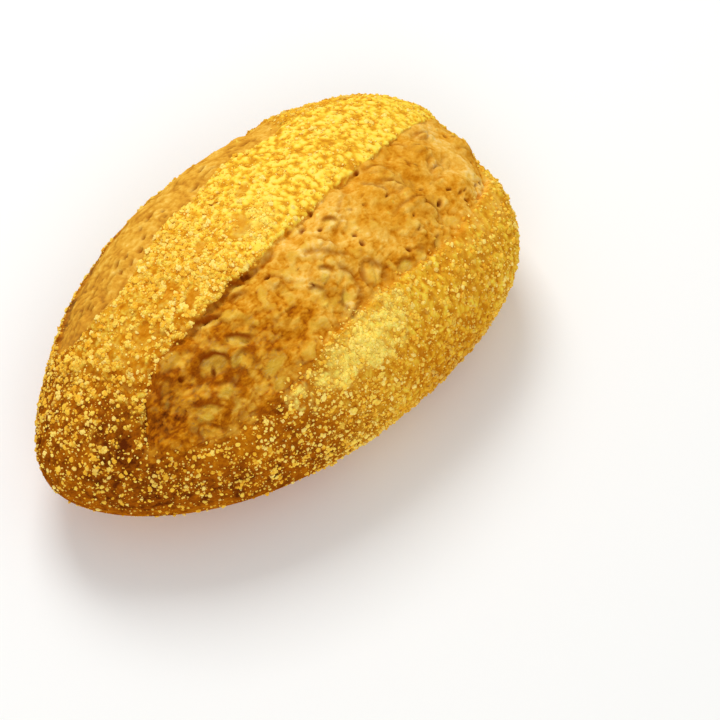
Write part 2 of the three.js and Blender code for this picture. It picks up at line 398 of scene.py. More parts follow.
# %% Lean the lip and place the loaf on the solid
LIP = {"overhang": 0.4, "reach": 3, "from": -0.45, "to": 0.89}
to_near = np.gradient(dough, axis=1)
to_near /= -np.maximum(np.linalg.norm(to_near, axis=-1, keepdims=True), 1e-9)
on_lip = 1 - np.minimum(1, np.abs(w_grid - lip + LEDGE) / (LIP["reach"] * LEDGE))
lean = LIP["overhang"] * on_lip * from_end_to_end(s_grid, LIP, END_FADE)
body = dough + grid_normals(dough) * relief[..., None] + to_near * lean[..., None]
body_low, body_high = body.reshape(-1, 3).min(0), body.reshape(-1, 3).max(0)
body += np.array([*(solid_middle - (body_low + body_high) / 2)[:2], 0])
normals = grid_normals(body)
points = body.reshape(-1, 3)
print("crust without its fine relief, mm:", (body_high - body_low).round(1))

# %% [markdown]
# ## Spots and lines on the crust
#
# A baker sees single things in the torn dough: a burst bubble, a fold, a seed under the skin.
# Sculpting them by hand would work, but it couldn't be repeated. Here each is a stamp, an ellipse
# laid on the surface at a given `s` and `w`, or a curve through a few such points. Both give a
# distance from every point of the crust, and a profile of that distance is the shape.

# %% Distances from a spot and from a line
SAME_LEVEL = 12  # mm; a spot doesn't reach the other side of the loaf
FAR_AWAY = 99.0
CURVE_POINTS = 10  # for each stop of a line


def nearest(s, w):
    """The grid row and column closest to a spot on the dome."""
    row = np.abs(ring_s - s).argmin()
    return row, np.abs(angles[row] - angle_of(np.array(w))).argmin()


def stamp(s, w, length, width, turn):
    """Each point's place from a spot: along and across in half sizes, turned in degrees."""
    row, column = nearest(s, w)
    up = normals[row, column]
    along = body[row + 1, column] - body[row - 1, column]
    along /= np.linalg.norm(along)
    offset = body - body[row, column]
    a, c = offset @ along, offset @ np.cross(up, along)
    turn = np.radians(turn)
    a, c = a * np.cos(turn) + c * np.sin(turn), c * np.cos(turn) - a * np.sin(turn)
    off_level = np.abs(offset @ up) > SAME_LEVEL
    return a / (length / 2) + FAR_AWAY * off_level, c / (width / 2)


def cover(patch, ragged, soft):
    """How far a patch covers each point, from 1 in its middle to 0, with a ragged edge."""
    return 1 - smoothstep(np.hypot(*stamp(*patch)) + ragged, *soft)


def line_distance(stops):
    """Distance in mm of each point from a smooth line through a few (s, w) stops."""
    stops = np.array(stops, float)
    place = np.linspace(0, len(stops) - 1, CURVE_POINTS * len(stops))
    curve = [np.interp(place, np.arange(len(stops)), stops[:, axis]) for axis in (0, 1)]
    line = np.array([body[nearest(s, w)] for s, w in zip(*curve)])
    closest = np.full(len(points), FAR_AWAY)
    for start, end in zip(line, line[1:]):
        step = end - start
        share = np.clip((points - start) @ step / max(step @ step, 1e-6), 0, 1)
        closest = np.minimum(closest, np.linalg.norm(points - start - share[:, None] * step, axis=1))
    return closest.reshape(s_grid.shape)


print("grid place of the crest:", nearest(0.0, 0.0))

# %% [markdown]
# ## Noise at a size in millimetres
#
# Baked dough is uneven at every size. A noise texture could drive a displacement, but the relief,
# the browning and the strewing of the meal have to follow the same lumps. So the noise is worked
# out once for each point, and each field is asked for at the size of what it stands for. Once
# seeded, Blender's own noise gives the same number for the same place in every run.

# %% Noise on the crust
# Blender starts its vector noise from the clock, unless it is given a seed.
NOISE_SEED = 11
noise.seed_set(NOISE_SEED)
# Each finer layer of noise is weaker than the one before, and half its size.
LAYER_FADE, LAYER_STEP = 0.9, 2.0
CELLS_TO_A_SWAY = 1.6
STRAND_SWAY_SIZE, STRAND_SWAY = 8, 2.4  # in mm, and in sizes of a strand


def lumps(size, detail=3, row=0.0):
    """Fractal noise, from about -1 to 1, with lumps `size` mm apart."""
    flat = (points / size + row).tolist()
    values = [noise.fractal(place, LAYER_FADE, LAYER_STEP, detail) for place in flat]
    return np.reshape(values, s_grid.shape)


def cells(size, warp, row):
    """Distance, in cell sizes, from each point to the nearest cell's middle."""
    sway_places = points / (CELLS_TO_A_SWAY * size) + row
    sway = [noise.noise_vector(place) for place in sway_places.tolist()]
    shifted = points / size + row + warp * np.array(sway)
    return np.reshape([noise.voronoi(place)[0][0] for place in shifted.tolist()], s_grid.shape)


def strands(length, width):
    """Stretched noise: strands of dough along the loaf, which sway as they go."""
    sway_places = points / STRAND_SWAY_SIZE
    sway = np.array([noise.noise_vector(place) for place in sway_places.tolist()])
    stretched = points / [length, width, width] + STRAND_SWAY * sway
    values = [noise.fractal(place, LAYER_FADE, LAYER_STEP, 2) for place in stretched.tolist()]
    return np.reshape(values, s_grid.shape)


broad = lumps(38, 2, 3.3)
middling = lumps(9, 3, 11.7)
small = lumps(4.2, 3, 5.1)
tiny = lumps(2.4, 2, 31.3)
fine = lumps(1.5, 2, 23.9)
print("spread of the noise fields:", [float(np.std(f).round(2)) for f in (broad, middling, small, fine)])

# %% [markdown]
# ## The torn crumb
#
# Bare dough that tears in the oven sets as a thin skin over bubbles. Near the narrow end it tore
# late and stayed rough: it swelled in lumps a finger wide, opened between them and kept thin webs
# where it held. Towards the blunt end steam stretched it smooth. Brushes for sculpting give such a
# skin by hand. Here it is fields of noise, each at the size of what it stands for, because the
# browning can then follow the same webs and openings.

# %% Swellings of the torn crumb
smooth_skin = smoothstep(s_grid, -0.05, 0.5) * smoothstep(foot - w_grid, 0.08, 0.3)
late_torn = wide * smoothstep(s_grid, -0.05, -0.4)
rough = wide * mix(0.65, 0.28, smooth_skin) + 0.15 * side
swells = lumps(12, 2, 2.2)
web = peak(swells + 0.04 * small, 0, 0.09) * late_torn
opened = smoothstep(swells + 0.12 * small + 0.06 * tiny, 0.05, 0.4) * late_torn
print("share of the wide bloom that opened late:", opened[wide > 0.5].mean().round(2))

# %% Strands, wrinkles and scales of the skin
fibres = strands(4.5, 1.3)
wrinkles = peak(lumps(7.5, 2, 17.3), 0, 0.07) * smoothstep(lumps(14, 2, 41.1), -0.2, 0.25)
scales = lumps(6.0, 2, 57.1) + 0.08 * tiny
scaly = wide * mix(1, 0.35, smooth_skin) * smoothstep(s_grid, -0.7, -0.5)
scale_edge = peak(scales, 0.04, 0.09) * scaly
scale_top = smoothstep(scales, 0.05, 0.6) * scaly
print("share of the wide bloom under raised scales:", scale_top[wide > 0.5].mean().round(2))

# %% Height of the skin
# Heights in millimetres.
UNEVENNESS = {"lumps": 0.75, "crumbs": 0.35, "grain": 0.1, "wrinkles": 0.3}
STRANDS = {"everywhere": 0.12, "late_torn": 0.2, "side_bloom": 0.35}
WEBS, OPENINGS, SCALES, SCALE_EDGES = 0.8, 0.8, 0.3, 0.25
crumb_relief = UNEVENNESS["lumps"] * small + UNEVENNESS["crumbs"] * tiny
crumb_relief += UNEVENNESS["grain"] * fine - UNEVENNESS["wrinkles"] * wrinkles
crumb_relief += (STRANDS["everywhere"] + STRANDS["late_torn"] * late_torn) * fibres
crumb_relief *= rough * mix(1, 0.5, np.maximum(web, opened))
crumb_relief += STRANDS["side_bloom"] * side * (fibres - 0.5 * wrinkles)
crumb_relief += WEBS * web - OPENINGS * opened + (0.05 * fine + 0.1 * tiny) * torn
crumb_relief += SCALES * scale_top - SCALE_EDGES * scale_edge
print("skin of the torn crumb, mm:", crumb_relief.min().round(1), "to", crumb_relief.max().round(1))

# %% [markdown]
# ## Bubbles, pits and seeds
#
# Burst bubbles leave dishes with a rim, and small ones leave pits of one to three millimetres.
# Sunflower kernels in the dough push up as long bumps, with a moat where the skin dips behind
# them. They could be separate objects, but the skin runs over them without a joint, so they are
# relief. The ones that give the loaf its face are placed one by one. The rest are strewn by a
# seeded draw in zones of the blooms. The dark crescents in the bubbles, the dark floors of the
# pits, the dark moats behind the seeds and the dark creases are painted shade, and the pale seed
# tops and near rims of the pits are painted highlight.

# %% Places of the bubbles that burst
# For each: s, w, length, width and depth in mm, and turn in degrees.
BUBBLES = [
    (-0.43, 0.42, 13, 10.5, 2.6, -38),
    (-0.36, 0.19, 13, 6, 2.0, -30),
    (-0.325, 0.385, 12, 6.5, 1.5, -52),
    (-0.59, 0.37, 8.5, 4.5, 0.8, 15),
    (-0.346, 0.505, 9, 8.5, 0.8, -30),
    (-0.44, 0.59, 10, 8, 1.0, -45),
    (-0.523, 0.63, 11, 6, 1.2, -50),
    (-0.21, 0.13, 9, 4.5, 1.2, -20),
    (-0.02, 0.42, 6, 4.5, 0.9, -45),
    (0.18, 0.155, 5.6, 4.4, 1.0, -50),
    (0.05, 0.37, 6.5, 5, 0.9, -50),
    (0.058, 0.555, 9, 6.5, 0.7, 60),
    (0.30, 0.60, 8, 8, 0.6, 0),
    (0.45, 0.60, 6, 4, 0.8, 20),
]
print("burst bubbles:", len(BUBBLES))

# %% Places of the larger pits
# In the same order, along the wide bloom and then along the side bloom.
PITS = [
    (-0.447, 0.45, 6.0, 2.6, 2.2, 45),
    (-0.535, 0.38, 4.4, 3.8, 2.0, 0),
    (-0.422, 0.52, 4.4, 3.0, 1.0, -45),
    (-0.113, 0.195, 3.4, 2.0, 2.4, -5),
    (-0.017, 0.386, 4.8, 1.5, 1.8, -65),
    (0.14, 0.153, 3.2, 2.0, 1.6, -20),
    (0.221, 0.35, 3.4, 3.2, 2.4, 0),
    (0.221, 0.29, 3.2, 2.0, 1.5, -20),
    (0.16, 0.04, 3.8, 2.8, 1.8, 40),
    (0.09, 0.096, 5.0, 3.0, 1.6, 0),
    (0.417, -0.035, 3.6, 2.6, 1.8, 20),
    (0.867, -0.09, 3.8, 2.4, 1.8, 30),
    (0.718, 0.067, 3.6, 2.4, 1.8, 10),
    (0.565, 0.44, 4.0, 2.6, 1.8, 0),
    (0.646, 0.42, 4.2, 2.0, 1.6, -50),
    (0.674, 0.555, 3.8, 1.8, 1.2, -50),
    (0.346, 0.53, 4.2, 2.8, 1.5, -50),
    (0.82, 0.58, 3.8, 2.4, 1.6, 0),
    (0.379, 0.564, 8.0, 5.0, 0.4, -30),
    (0.565, 0.45, 4.0, 3.0, 0.9, 30),
    (0.44, 0.12, 8.0, 2.0, 0.6, -60),
    (0.27, 0.16, 4.5, 2.0, 0.4, -50),
    (-0.314, -0.585, 4.4, 3.4, 2.2, 40),
    (-0.36, -0.64, 5.0, 2.0, 1.6, 4),
    (-0.417, -0.614, 3.6, 2.2, 1.2, 0),
    (-0.02, -0.80, 4.6, 2.4, 1.8, 0),
    (-0.194, -0.715, 6.5, 1.6, 1.2, 5),
    (-0.147, -0.68, 2.6, 1.8, 1.4, 0),
    (-0.248, -0.695, 3.6, 1.8, 1.2, 10),
    (0.065, -0.725, 5.5, 1.8, 1.2, 5),
    (-0.69, -0.45, 5.0, 2.4, 1.8, 0),
]
print("larger pits:", len(PITS))

# %% Places of the larger seeds
# In the same order, with the height instead of the depth.
SEEDS = [
    (0.174, 0.513, 10, 5, 1.3, 60),
    (0.48, 0.20, 10, 3.6, 1.3, -47),
    (0.474, 0.03, 9, 4, 1.0, -35),
    (0.517, 0.448, 9, 3.4, 1.1, -80),
    (0.03, 0.45, 7, 4.5, 0.8, 30),
    (-0.105, 0.25, 9, 4, 0.9, -70),
    (-0.541, 0.74, 11, 3.2, 1.1, -38),
    (-0.218, 0.14, 9, 3.8, 0.9, -20),
    (0.44, 0.345, 12, 4.2, 0.9, -8),
    (0.70, 0.18, 6, 3.6, 0.8, 20),
]
print("larger seeds:", len(SEEDS))

# %% Strew the smaller pits and seeds
# Each zone: its limits in s, its two edges, and its limits in the share across them.
WIDE_ZONE = ((-0.68, 0.84), ("lip", "foot"), (0.06, 0.95))
BLUNT_ZONE = ((0.4, 0.92), ("lip", "foot"), (0.04, 0.95))
SIDE_ZONE = ((-0.68, 0.52), ("far", "top"), (0.1, 0.9))
# For each kind: how many, zone, limits of length, width and depth, turn and its spread.
STREWN_PITS = [
    (18, WIDE_ZONE, [(1.6, 3.6), (1.0, 2.0), (0.4, 1.0)], 0, 50),
    (30, SIDE_ZONE, [(3, 7), (1.2, 2.2), (0.8, 1.6)], 4, 9),
    (14, BLUNT_ZONE, [(2.4, 5.5), (1.3, 2.2), (0.8, 1.5)], -15, 30),
]
STREWN_SEEDS = [
    (18, WIDE_ZONE, [(6, 10), (2.8, 4.2), (0.3, 0.7)], 0, 45),
    (16, SIDE_ZONE, [(6, 10), (2.8, 4.2), (0.4, 0.8)], 4, 15),
    (14, BLUNT_ZONE, [(5, 9), (2.4, 3.8), (0.5, 1.0)], -15, 30),
]
random = np.random.default_rng(11)


def strewn(count, zone, sizes, turn, spread):
    """Random spots in a zone, in the order of the lists above."""
    s_limits, edge_names, share_limits = zone
    spots = []
    for _ in range(count):
        s = random.uniform(*s_limits)
        share = random.uniform(*share_limits)
        edges_here = torn_edges(np.array([s]))
        low, high = (float(edges_here[name][0]) for name in edge_names)
        drawn = [random.uniform(*limits) for limits in sizes]
        spots.append((s, mix(low, high, share), *drawn, random.normal(turn, spread)))
    return spots


pits = PITS + sum((strewn(*kind) for kind in STREWN_PITS), [])
seeds = SEEDS + sum((strewn(*kind) for kind in STREWN_SEEDS), [])
print("pits and seeds in all:", len(pits), len(seeds))

# %% Raise the seeds
FINEST = 1.2  # mm; the grid can't hold anything narrower
SEED_CROWN, MOAT_DEPTH = 1.2, 0.6  # as shares of a seed's height
MOAT_REACH, MOAT_WIDTH = 1.15, 0.2  # in half sizes of the seed
spots = np.zeros_like(s_grid)
hollow_shade = np.zeros_like(s_grid)
seed_and_rim_highlight = np.zeros_like(s_grid)
for s, w, length, width, height, turn in seeds:
    a, c = stamp(s, w, length, width, turn)
    reach = np.hypot(a, c) * (1 + 0.12 * small + 0.1 * tiny)
    bump = np.sqrt(np.maximum(0, 1 - reach**2))
    far_side = np.clip(0.3 + 0.7 * c / np.maximum(reach, 0.3), 0, 1)
    moat = peak(reach, MOAT_REACH, max(MOAT_WIDTH, 1.6 * FINEST / width)) * far_side
    spots += height * (SEED_CROWN * bump - MOAT_DEPTH * moat)
    # The moat is also darkened in the colour: painted shade behind the seed.
    hollow_shade = np.maximum(hollow_shade, min(0.55 * height, 0.8) * moat)
    # The seed's top is drawn paler: painted highlight on the bump.
    seed_and_rim_highlight = np.maximum(seed_and_rim_highlight, bump * np.minimum(height, 1))
print("highest seed, mm:", spots.max().round(1))

# %% Sink the bubbles
RIM_REACH, RIM_WIDTH, RIM_HEIGHT = 1.22, 0.22, 0.35  # in half sizes, and a share of the depth
SHADOW_REACH, SHADOW_WIDTH = 0.9, 0.17  # of the dark crescent under the far rim
BUBBLE_EDGE = 1.08
dish = np.zeros_like(s_grid)
for s, w, length, width, depth, turn in BUBBLES:
    a, c = stamp(s, w, length, width, turn)
    reach = np.hypot(a, c) * (1 + 0.15 * small + 0.08 * tiny)
    far_side = np.clip(0.5 + 0.5 * c, 0, 1)
    floor = 1 - smoothstep(reach, mix(0.3, 0.8, far_side * min(depth / 2, 1)), BUBBLE_EDGE)
    rim = RIM_HEIGHT * peak(reach, RIM_REACH, RIM_WIDTH) * mix(0.5, 1, far_side)
    spots += depth * (rim - floor * mix(0.45, 1.1, far_side))
    dish = np.maximum(dish, floor * min(depth / 1.4, 1))
    # Under the far rim a crescent is darkened in the colour: painted shade cast by the rim.
    shadow = peak(reach, SHADOW_REACH, max(SHADOW_WIDTH, 1.7 * FINEST / width))
    crescent_shade = shadow * smoothstep(c, -0.2, 0.7)
    hollow_shade = np.maximum(hollow_shade, min(0.4 + 0.35 * depth, 1) * crescent_shade)
print("deepest bubble, mm:", spots.min().round(1))

# %% Sink the pits
for s, w, length, width, depth, turn in pits:
    a, c = stamp(s, w, length, width, turn)
    reach = np.hypot(a, c) * (1 + 0.3 * tiny)
    spots -= depth * (1 - smoothstep(reach, 0.25, 1.15))
    # The pit's near rim is drawn paler: painted highlight.
    lit_near_rim = peak(a, 0, 1.3) * peak(c, -1.5, 0.7)
    seed_and_rim_highlight = np.maximum(seed_and_rim_highlight, 0.7 * lit_near_rim)
    # The pit's floor is darkened in the colour: painted shade in the pit.
    hollow_shade = np.maximum(hollow_shade, min(0.3 + 0.4 * depth, 1) * (1 - smoothstep(reach, 0.2, 1.1)))
print("share of the crust in hollows:", (hollow_shade > 0.5).mean().round(3))

# %% [markdown]
# ## Folds and creases
#
# Where the skin tore late it was pushed together in folds round the biggest bubble, and where it
# set early it cracked in fine creases. Both are curves through a few places, with a round profile
# for a fold and a narrow one for a crease. Curves with a bevel would do, but they would lie on the
# skin like cords, while a change of height belongs to it.

# %% Routes of the folds and creases
# Each fold: its height and width in mm, and its stops in s and w. A crease has stops only.
FOLDS = [
    (1.5, 2.2, [(-0.55, 0.35), (-0.49, 0.312), (-0.443, 0.318), (-0.392, 0.331), (-0.34, 0.344),
                (-0.28, 0.375)]),
    (1.1, 2.4, [(-0.60, 0.28), (-0.553, 0.25), (-0.492, 0.225), (-0.443, 0.25), (-0.39, 0.285),
                (-0.34, 0.30)]),
    (1.3, 1.6, [(-0.575, 0.50), (-0.555, 0.515), (-0.523, 0.54), (-0.48, 0.60), (-0.449, 0.69)]),
    (1.0, 1.6, [(-0.40, 0.475), (-0.385, 0.53), (-0.372, 0.63), (-0.40, 0.68), (-0.44, 0.70)]),
    (1.0, 1.8, [(-0.60, 0.755), (-0.517, 0.78), (-0.443, 0.795), (-0.38, 0.785), (-0.30, 0.785)]),
    (0.9, 1.6, [(-0.68, 0.40), (-0.665, 0.35), (-0.63, 0.30), (-0.60, 0.28)]),
    (0.8, 1.4, [(-0.615, 0.47), (-0.62, 0.40), (-0.60, 0.33), (-0.565, 0.31)]),
]
CREASES = [
    [(0.044, 0.22), (0.085, 0.265), (0.12, 0.323), (0.147, 0.348)],
    [(0.10, 0.388), (0.126, 0.456), (0.113, 0.548), (0.09, 0.60), (0.04, 0.63)],
    [(0.40, 0.06), (0.42, 0.12), (0.436, 0.18)],
    [(0.20, 0.46), (0.23, 0.53), (0.21, 0.58)],
    [(-0.24, 0.115), (-0.29, 0.13), (-0.345, 0.13), (-0.41, 0.16)],
    [(-0.05, 0.10), (-0.10, 0.12), (-0.15, 0.12), (-0.20, 0.115)],
    [(-0.375, 0.135), (-0.353, 0.158), (-0.314, 0.20)],
    [(-0.261, 0.15), (-0.23, 0.165), (-0.205, 0.185)],
]
print("folds and creases:", len(FOLDS), len(CREASES))

# %% Raise the folds and cut the creases
CREASE_DEPTH, CREASE_HALF_WIDTH = 0.8, 1.2 * FINEST
folded = np.zeros_like(s_grid)
fold_relief = np.zeros_like(s_grid)
for height, width, stops in FOLDS:
    distance = line_distance(stops) + 0.4 * small
    fold = peak(distance, 0, width)
    folded = np.maximum(folded, fold)
    fold_relief = np.maximum(fold_relief, height * fold)
    shade_beside_fold = peak(distance / width, 1.5, 0.4)
    # Beside each fold the crust is darkened: painted shade at its foot.
    hollow_shade = np.maximum(hollow_shade, 0.3 * shade_beside_fold * smoothstep(middling, -0.5, 0.2))
crumb_relief *= 1 - 0.7 * folded
spots += fold_relief
for stops in CREASES:
    groove = peak(line_distance(stops) + 0.4 * small, 0, CREASE_HALF_WIDTH)
    spots -= CREASE_DEPTH * groove
    # Each crease is darkened as well: painted shade in the groove.
    hollow_shade = np.maximum(hollow_shade, 0.55 * groove)
off_the_lip = mix(smoothstep(across_wide, 0.0, 0.05), 1, 1 - wide)
crumb_relief += spots * np.maximum(torn, 0.15 * on_dome) * off_the_lip
print("relief of the torn crumb, mm:", crumb_relief.min().round(1), "to", crumb_relief.max().round(1))

# %% [markdown]
# ## Where the meal lies
#
# The loaf was rolled in meal before it was slashed, so meal covers all but the blooms. On the
# strip it is nearly closed and fused to the crust. Towards the narrow end it breaks up into
# clumps with bare crust between them, and low on the flank it thins out. Weight paint would show
# a density to a particle system. Two fields take its place: `coat` says how many grains lie
# there, and `paste` how far the meal is fused into the crust.

# %% How closely the meal covers each place
# How closed the coat is at the narrow end and at the blunt end, from 0 to 1.
COAT = {"strip": (0.42, 1.0), "flank": (0.34, 0.9)}
NARROW_TIP_COAT, UPPER_TIP_COAT, LOWEST_COAT = 0.2, 0.35, 0.03
height_share = body[..., 2] / HEIGHT
upper = smoothstep(height_share, 0.35, 0.75)
frayed = w_grid + 0.02 * small + 0.012 * tiny
on_strip = between(frayed, top - 0.01, lip + 0.015, 0.015) * smoothstep(s_grid, -0.95, -0.6)
on_top = np.maximum(on_strip, 0.8 * upper * smoothstep(s_grid, 0.75, 0.95))
strip_coat = mix(*COAT["strip"], smoothstep(s_grid, -0.55, 0.05))
flank_coat = mix(*COAT["flank"], smoothstep(s_grid, -0.35, 0.1))
coat = mix(flank_coat, strip_coat, on_top)
coat = mix(coat, NARROW_TIP_COAT + UPPER_TIP_COAT * upper, smoothstep(s_grid, -0.6, -0.8))
rolled_height = height_share + 0.4 * smoothstep(s_grid, -0.4, 0.1)
coat *= mix(LOWEST_COAT, 1, smoothstep(rolled_height, 0.15, 0.52))
print("coat before it is rubbed:", coat[on_dome].mean().round(2))

# %% How far the meal is fused
patchy = smoothstep(0.7 * broad + middling + 0.4 * small, -0.35, 0.35)
strip_paste = mix(0.25 + 0.2 * smoothstep(w_grid, 0.1, -0.3), 1.0, smoothstep(s_grid, -0.5, 0.1))
paste = mix(0.9 * smoothstep(s_grid, -0.38, 0.18), strip_paste, on_top)
paste *= mix(mix(0.7, 1, patchy), 1, on_top)
print("paste before it is rubbed:", paste[on_dome].mean().round(2))

# %% [markdown]
# ## Rubbed bare, brushed off and dusted
#
# Hands rub the meal off in places. Beside the wide bloom's foot and at the blunt tip it was brushed
# thin, and a handful fell thick on the middle of the near flank. Noise alone would make every side
# alike, so these are patches with ragged edges, placed one by one like strokes of paint.

# %% Patches in the coat
# For each patch: its strength, then s, w, length, width and turn.
BARE_PATCHES = [
    (1.0, (-0.05, -0.15, 14, 8, 30)),
    (1.0, (-0.35, 0.016, 12, 6, 10)),
    (1.0, (-0.38, -0.13, 9, 5, 0)),
    (1.0, (-0.20, -0.22, 9, 5, 20)),
    (1.0, (0.05, -0.33, 10, 5, 10)),
    (1.0, (-0.52, -0.05, 8, 5, 0)),
    (1.0, (-0.785, 0.60, 22, 10, 65)),
    (0.4, (-0.76, 0.42, 50, 30, 60)),
]
DUSTED_PATCHES = [(1.0, (0.01, 0.77, 54, 20, 4)), (0.5, (0.01, -0.10, 20, 12, 0))]
bare = np.zeros_like(s_grid)
for share, patch in BARE_PATCHES:
    bare = np.maximum(bare, share * cover(patch, 0.45 * small, (0.6, 1.15)))
flour = np.zeros_like(s_grid)
scattered = 0.7 * middling + 0.5 * small + 0.5 * tiny + 0.3 * fine
for share, patch in DUSTED_PATCHES:
    flour = np.maximum(flour, share * cover(patch, scattered, (0.4, 1.25)))
flour *= 1 - 0.55 * wide
print("share of the dome under flour:", flour[on_dome].mean().round(3))

# %% Brush the coat
below_foot = w_grid - foot + 0.06 * middling
brushed = smoothstep(s_grid, 0.2, 0.6) * (1 - smoothstep(below_foot, 0.0, 0.26)) * (w_grid > foot)
blunt_tip = smoothstep(s_grid, 0.86, 0.94) * between(w_grid, lip - 0.3, lip, 0.05)
brushed = np.maximum(brushed, blunt_tip)
rubbed_off = np.maximum(0.85 * bare, 0.6 * brushed)
coat = np.maximum(coat * (1 - rubbed_off) * (1 - torn), 0.95 * flour)
coat *= smoothstep(body[..., 2], 0.1, 1.5)
paste = np.maximum(paste * (1 - 0.7 * bare) * (1 - 0.55 * brushed) * (1 - torn), flour)
print("share of the crust under meal:", coat[on_dome].mean().round(2))

# %% How far the oven toasted the meal
end_roast = 0.1 * smoothstep(s_grid, -0.5, -0.75)
flank_roast = between(s_grid, 0.15, 0.5, 0.15) * (1 - on_top) * mix(1, 0.2, upper)
end_roast += mix(0.5, 0.36, patchy) * flank_roast
roast = 0.04 + 1.4 * end_roast + (0.3 * middling + 0.2 * small) * mix(1, 0.5, on_top) - 0.3 * flour
print("mean roast:", roast[on_dome].mean().round(2))

# %% [markdown]
# ## Fused meal
#
# Where the coat is closed, damp meal baked into a bark of flat clumps about three millimetres
# across. They could all be separate grains, but then their roots would never meet. Rounded
# Voronoi cells give the bark its pillows, and the loose grains are strewn on top of it.

# %% Clumps on the crust
PILLOW_SIZE, PILLOW_WARP = 3.0, 0.4
pillows = 1 - smoothstep(cells(PILLOW_SIZE, PILLOW_WARP, 7.7), 0.15, 0.85)
gathered = 0.5 + 0.5 * tiny + 0.35 * small + 0.15 * middling
clumps = smoothstep(gathered, 0.92 - coat, 1.22 - coat) * smoothstep(pillows, 0.05, 0.45)
flank_clumps = smoothstep(s_grid, -0.3, 0.3) * mix(0.5, 1, patchy)
clumps *= np.maximum(mix(flank_clumps, 1, on_top), flour)
meal_relief = clumps * (0.3 + 0.8 * pillows + 0.25 * fine + 0.2 * tiny) * mix(1, 0.7, paste)
meal_relief *= mix(1, 0.7, on_top * smoothstep(s_grid, 0.0, 0.5)) * (1 + 0.6 * flour)
print("thickest bark of meal, mm:", meal_relief.max().round(1))

# %% How light the fused meal is drawn, with painted highlight on its clumps
# The pillows' tops are drawn lighter and the gaps between them darker: painted highlight and painted
# shade, on top of the roast and the meal's own uneven tone.
flank_meal_highlight = 0.05 + 0.4 * pillows + 0.15 * patchy + 0.25 * small + 0.15 * middling
strip_meal_highlight = mix(0.1 + 0.85 * pillows, 0.32 + 0.45 * pillows, smoothstep(s_grid, 0.4, 0.8))
meal_highlight_and_roast = mix(flank_meal_highlight, strip_meal_highlight, on_top) + 0.3 * fine + 0.25 * tiny - 0.5 * roast
meal_highlight_and_roast = np.clip(meal_highlight_and_roast, 0, 1)
print("mean height on the clumps, from 0 to 1:", meal_highlight_and_roast[on_dome].mean().round(2))

# %% [markdown]
# ## The final crust surface
#
# All relief goes along the normals of the smooth loaf in one step, as a displacement modifier
# would do it. Low down it fades out, since the oven floor pressed the crust flat. At the narrow
# end of the lip the strip and the bloom have both faded, so a seam fills the groove between them.

# %% Add up the relief
SEAM_HEIGHT = 2
ridge_of_ledge = (1 - smoothstep(np.abs(w_grid - lip + 0.012), 0.0, 0.025)) * strip
pressed = smoothstep(body[..., 2], 0.3, 4)
seam = np.clip(1 - strip - wide, 0, 1) * peak(w_grid, lip, 2 * LEDGE)
seam *= smoothstep(s_grid, -0.45, -0.55) * smoothstep(s_grid, -0.72, -0.66) * on_dome
fine_relief = crumb_relief + meal_relief + 0.35 * small * ridge_of_ledge + SEAM_HEIGHT * seam
surface = body + normals * (fine_relief * pressed)[..., None]
surface[..., 2] = np.maximum(surface[..., 2], 0)
surface_normals = grid_normals(surface)
print("crust, mm:", np.ptp(surface.reshape(-1, 3), axis=0).round(1))

# %% [markdown]
# ## How brown
#
# The oven browns what stands in its draught and what dried first: the narrow end, the edges of
# the tears and of the scales. Strands and cavities stay lighter. Vertex paint could hold this, but
# it has to follow the relief, so it is worked out from the same fields and kept on the mesh as an
# attribute. The material then only has to colour it. Higher lumps, seed tops and the near rims of
# pits are also drawn paler, which is painted highlight, and the bloom under the lip darker, which
# is painted shade.

# %% Browning of the blooms
# Browning runs from 0, pale dough, to 1, dark brown. Each part adds to what the whole bloom has.
WIDE_BROWN = {"all": 0.40, "narrow": 0.26, "blunt": -0.2, "upper": -0.2, "lip": 0.08, "tip": 0.18}
SIDE_BROWN = {"all": 0.42, "narrow": 0.2, "far_edge": 0.2}
wide_brown = WIDE_BROWN["all"] + WIDE_BROWN["narrow"] * smoothstep(s_grid, 0.1, -0.55)
wide_brown += WIDE_BROWN["blunt"] * smoothstep(s_grid, 0.6, 0.8)
upper_middle = between(s_grid, -0.1, 0.3, 0.12) * smoothstep(across_wide, 0.7, 0.3)
wide_brown += WIDE_BROWN["upper"] * upper_middle
narrow_lip = smoothstep(across_wide, 0.2, 0.0) * smoothstep(s_grid, 0.0, -0.4)
wide_brown += WIDE_BROWN["lip"] * narrow_lip
wide_brown += WIDE_BROWN["tip"] * smoothstep(s_grid, 0.8, 0.92)
side_brown = SIDE_BROWN["all"] + SIDE_BROWN["narrow"] * smoothstep(s_grid, -0.3, -0.7)
side_brown += SIDE_BROWN["far_edge"] * smoothstep(across_side, 0.25, 0.0)
print("browning of the wide bloom:", wide_brown[wide > 0.5].mean().round(2))
print("browning of the side bloom:", side_brown[side > 0.5].mean().round(2))

# %% Browning under the meal
# At the narrow end and at the blunt end; low down the crust stays paler, and low at the narrow end the
# paler crust is partly painted light bounced up from the table.
COAT_BROWN = {"flank": (0.85, 0.6), "top": (0.6, 0.42)}
LOW_PALER_AND_BOUNCE, LOWEST_PALER = 0.16, 0.15
coat_brown = mix(*COAT_BROWN["flank"], smoothstep(s_grid, -0.3, 0.4))
top_brown = mix(*COAT_BROWN["top"], smoothstep(s_grid, -0.6, 0.0))
coat_brown = mix(coat_brown, top_brown, np.maximum(on_top, 0.45 * upper))
coat_brown -= (0.12 * small + 0.1 * tiny - 0.1 * middling) * smoothstep(s_grid, 0.1, -0.4)
low_narrow_pale_and_bounce = (1 - smoothstep(height_share, 0.1, 0.45)) * smoothstep(s_grid, 0.3, -0.6)
coat_brown -= LOW_PALER_AND_BOUNCE * low_narrow_pale_and_bounce + LOWEST_PALER * (1 - smoothstep(height_share, 0.02, 0.2))
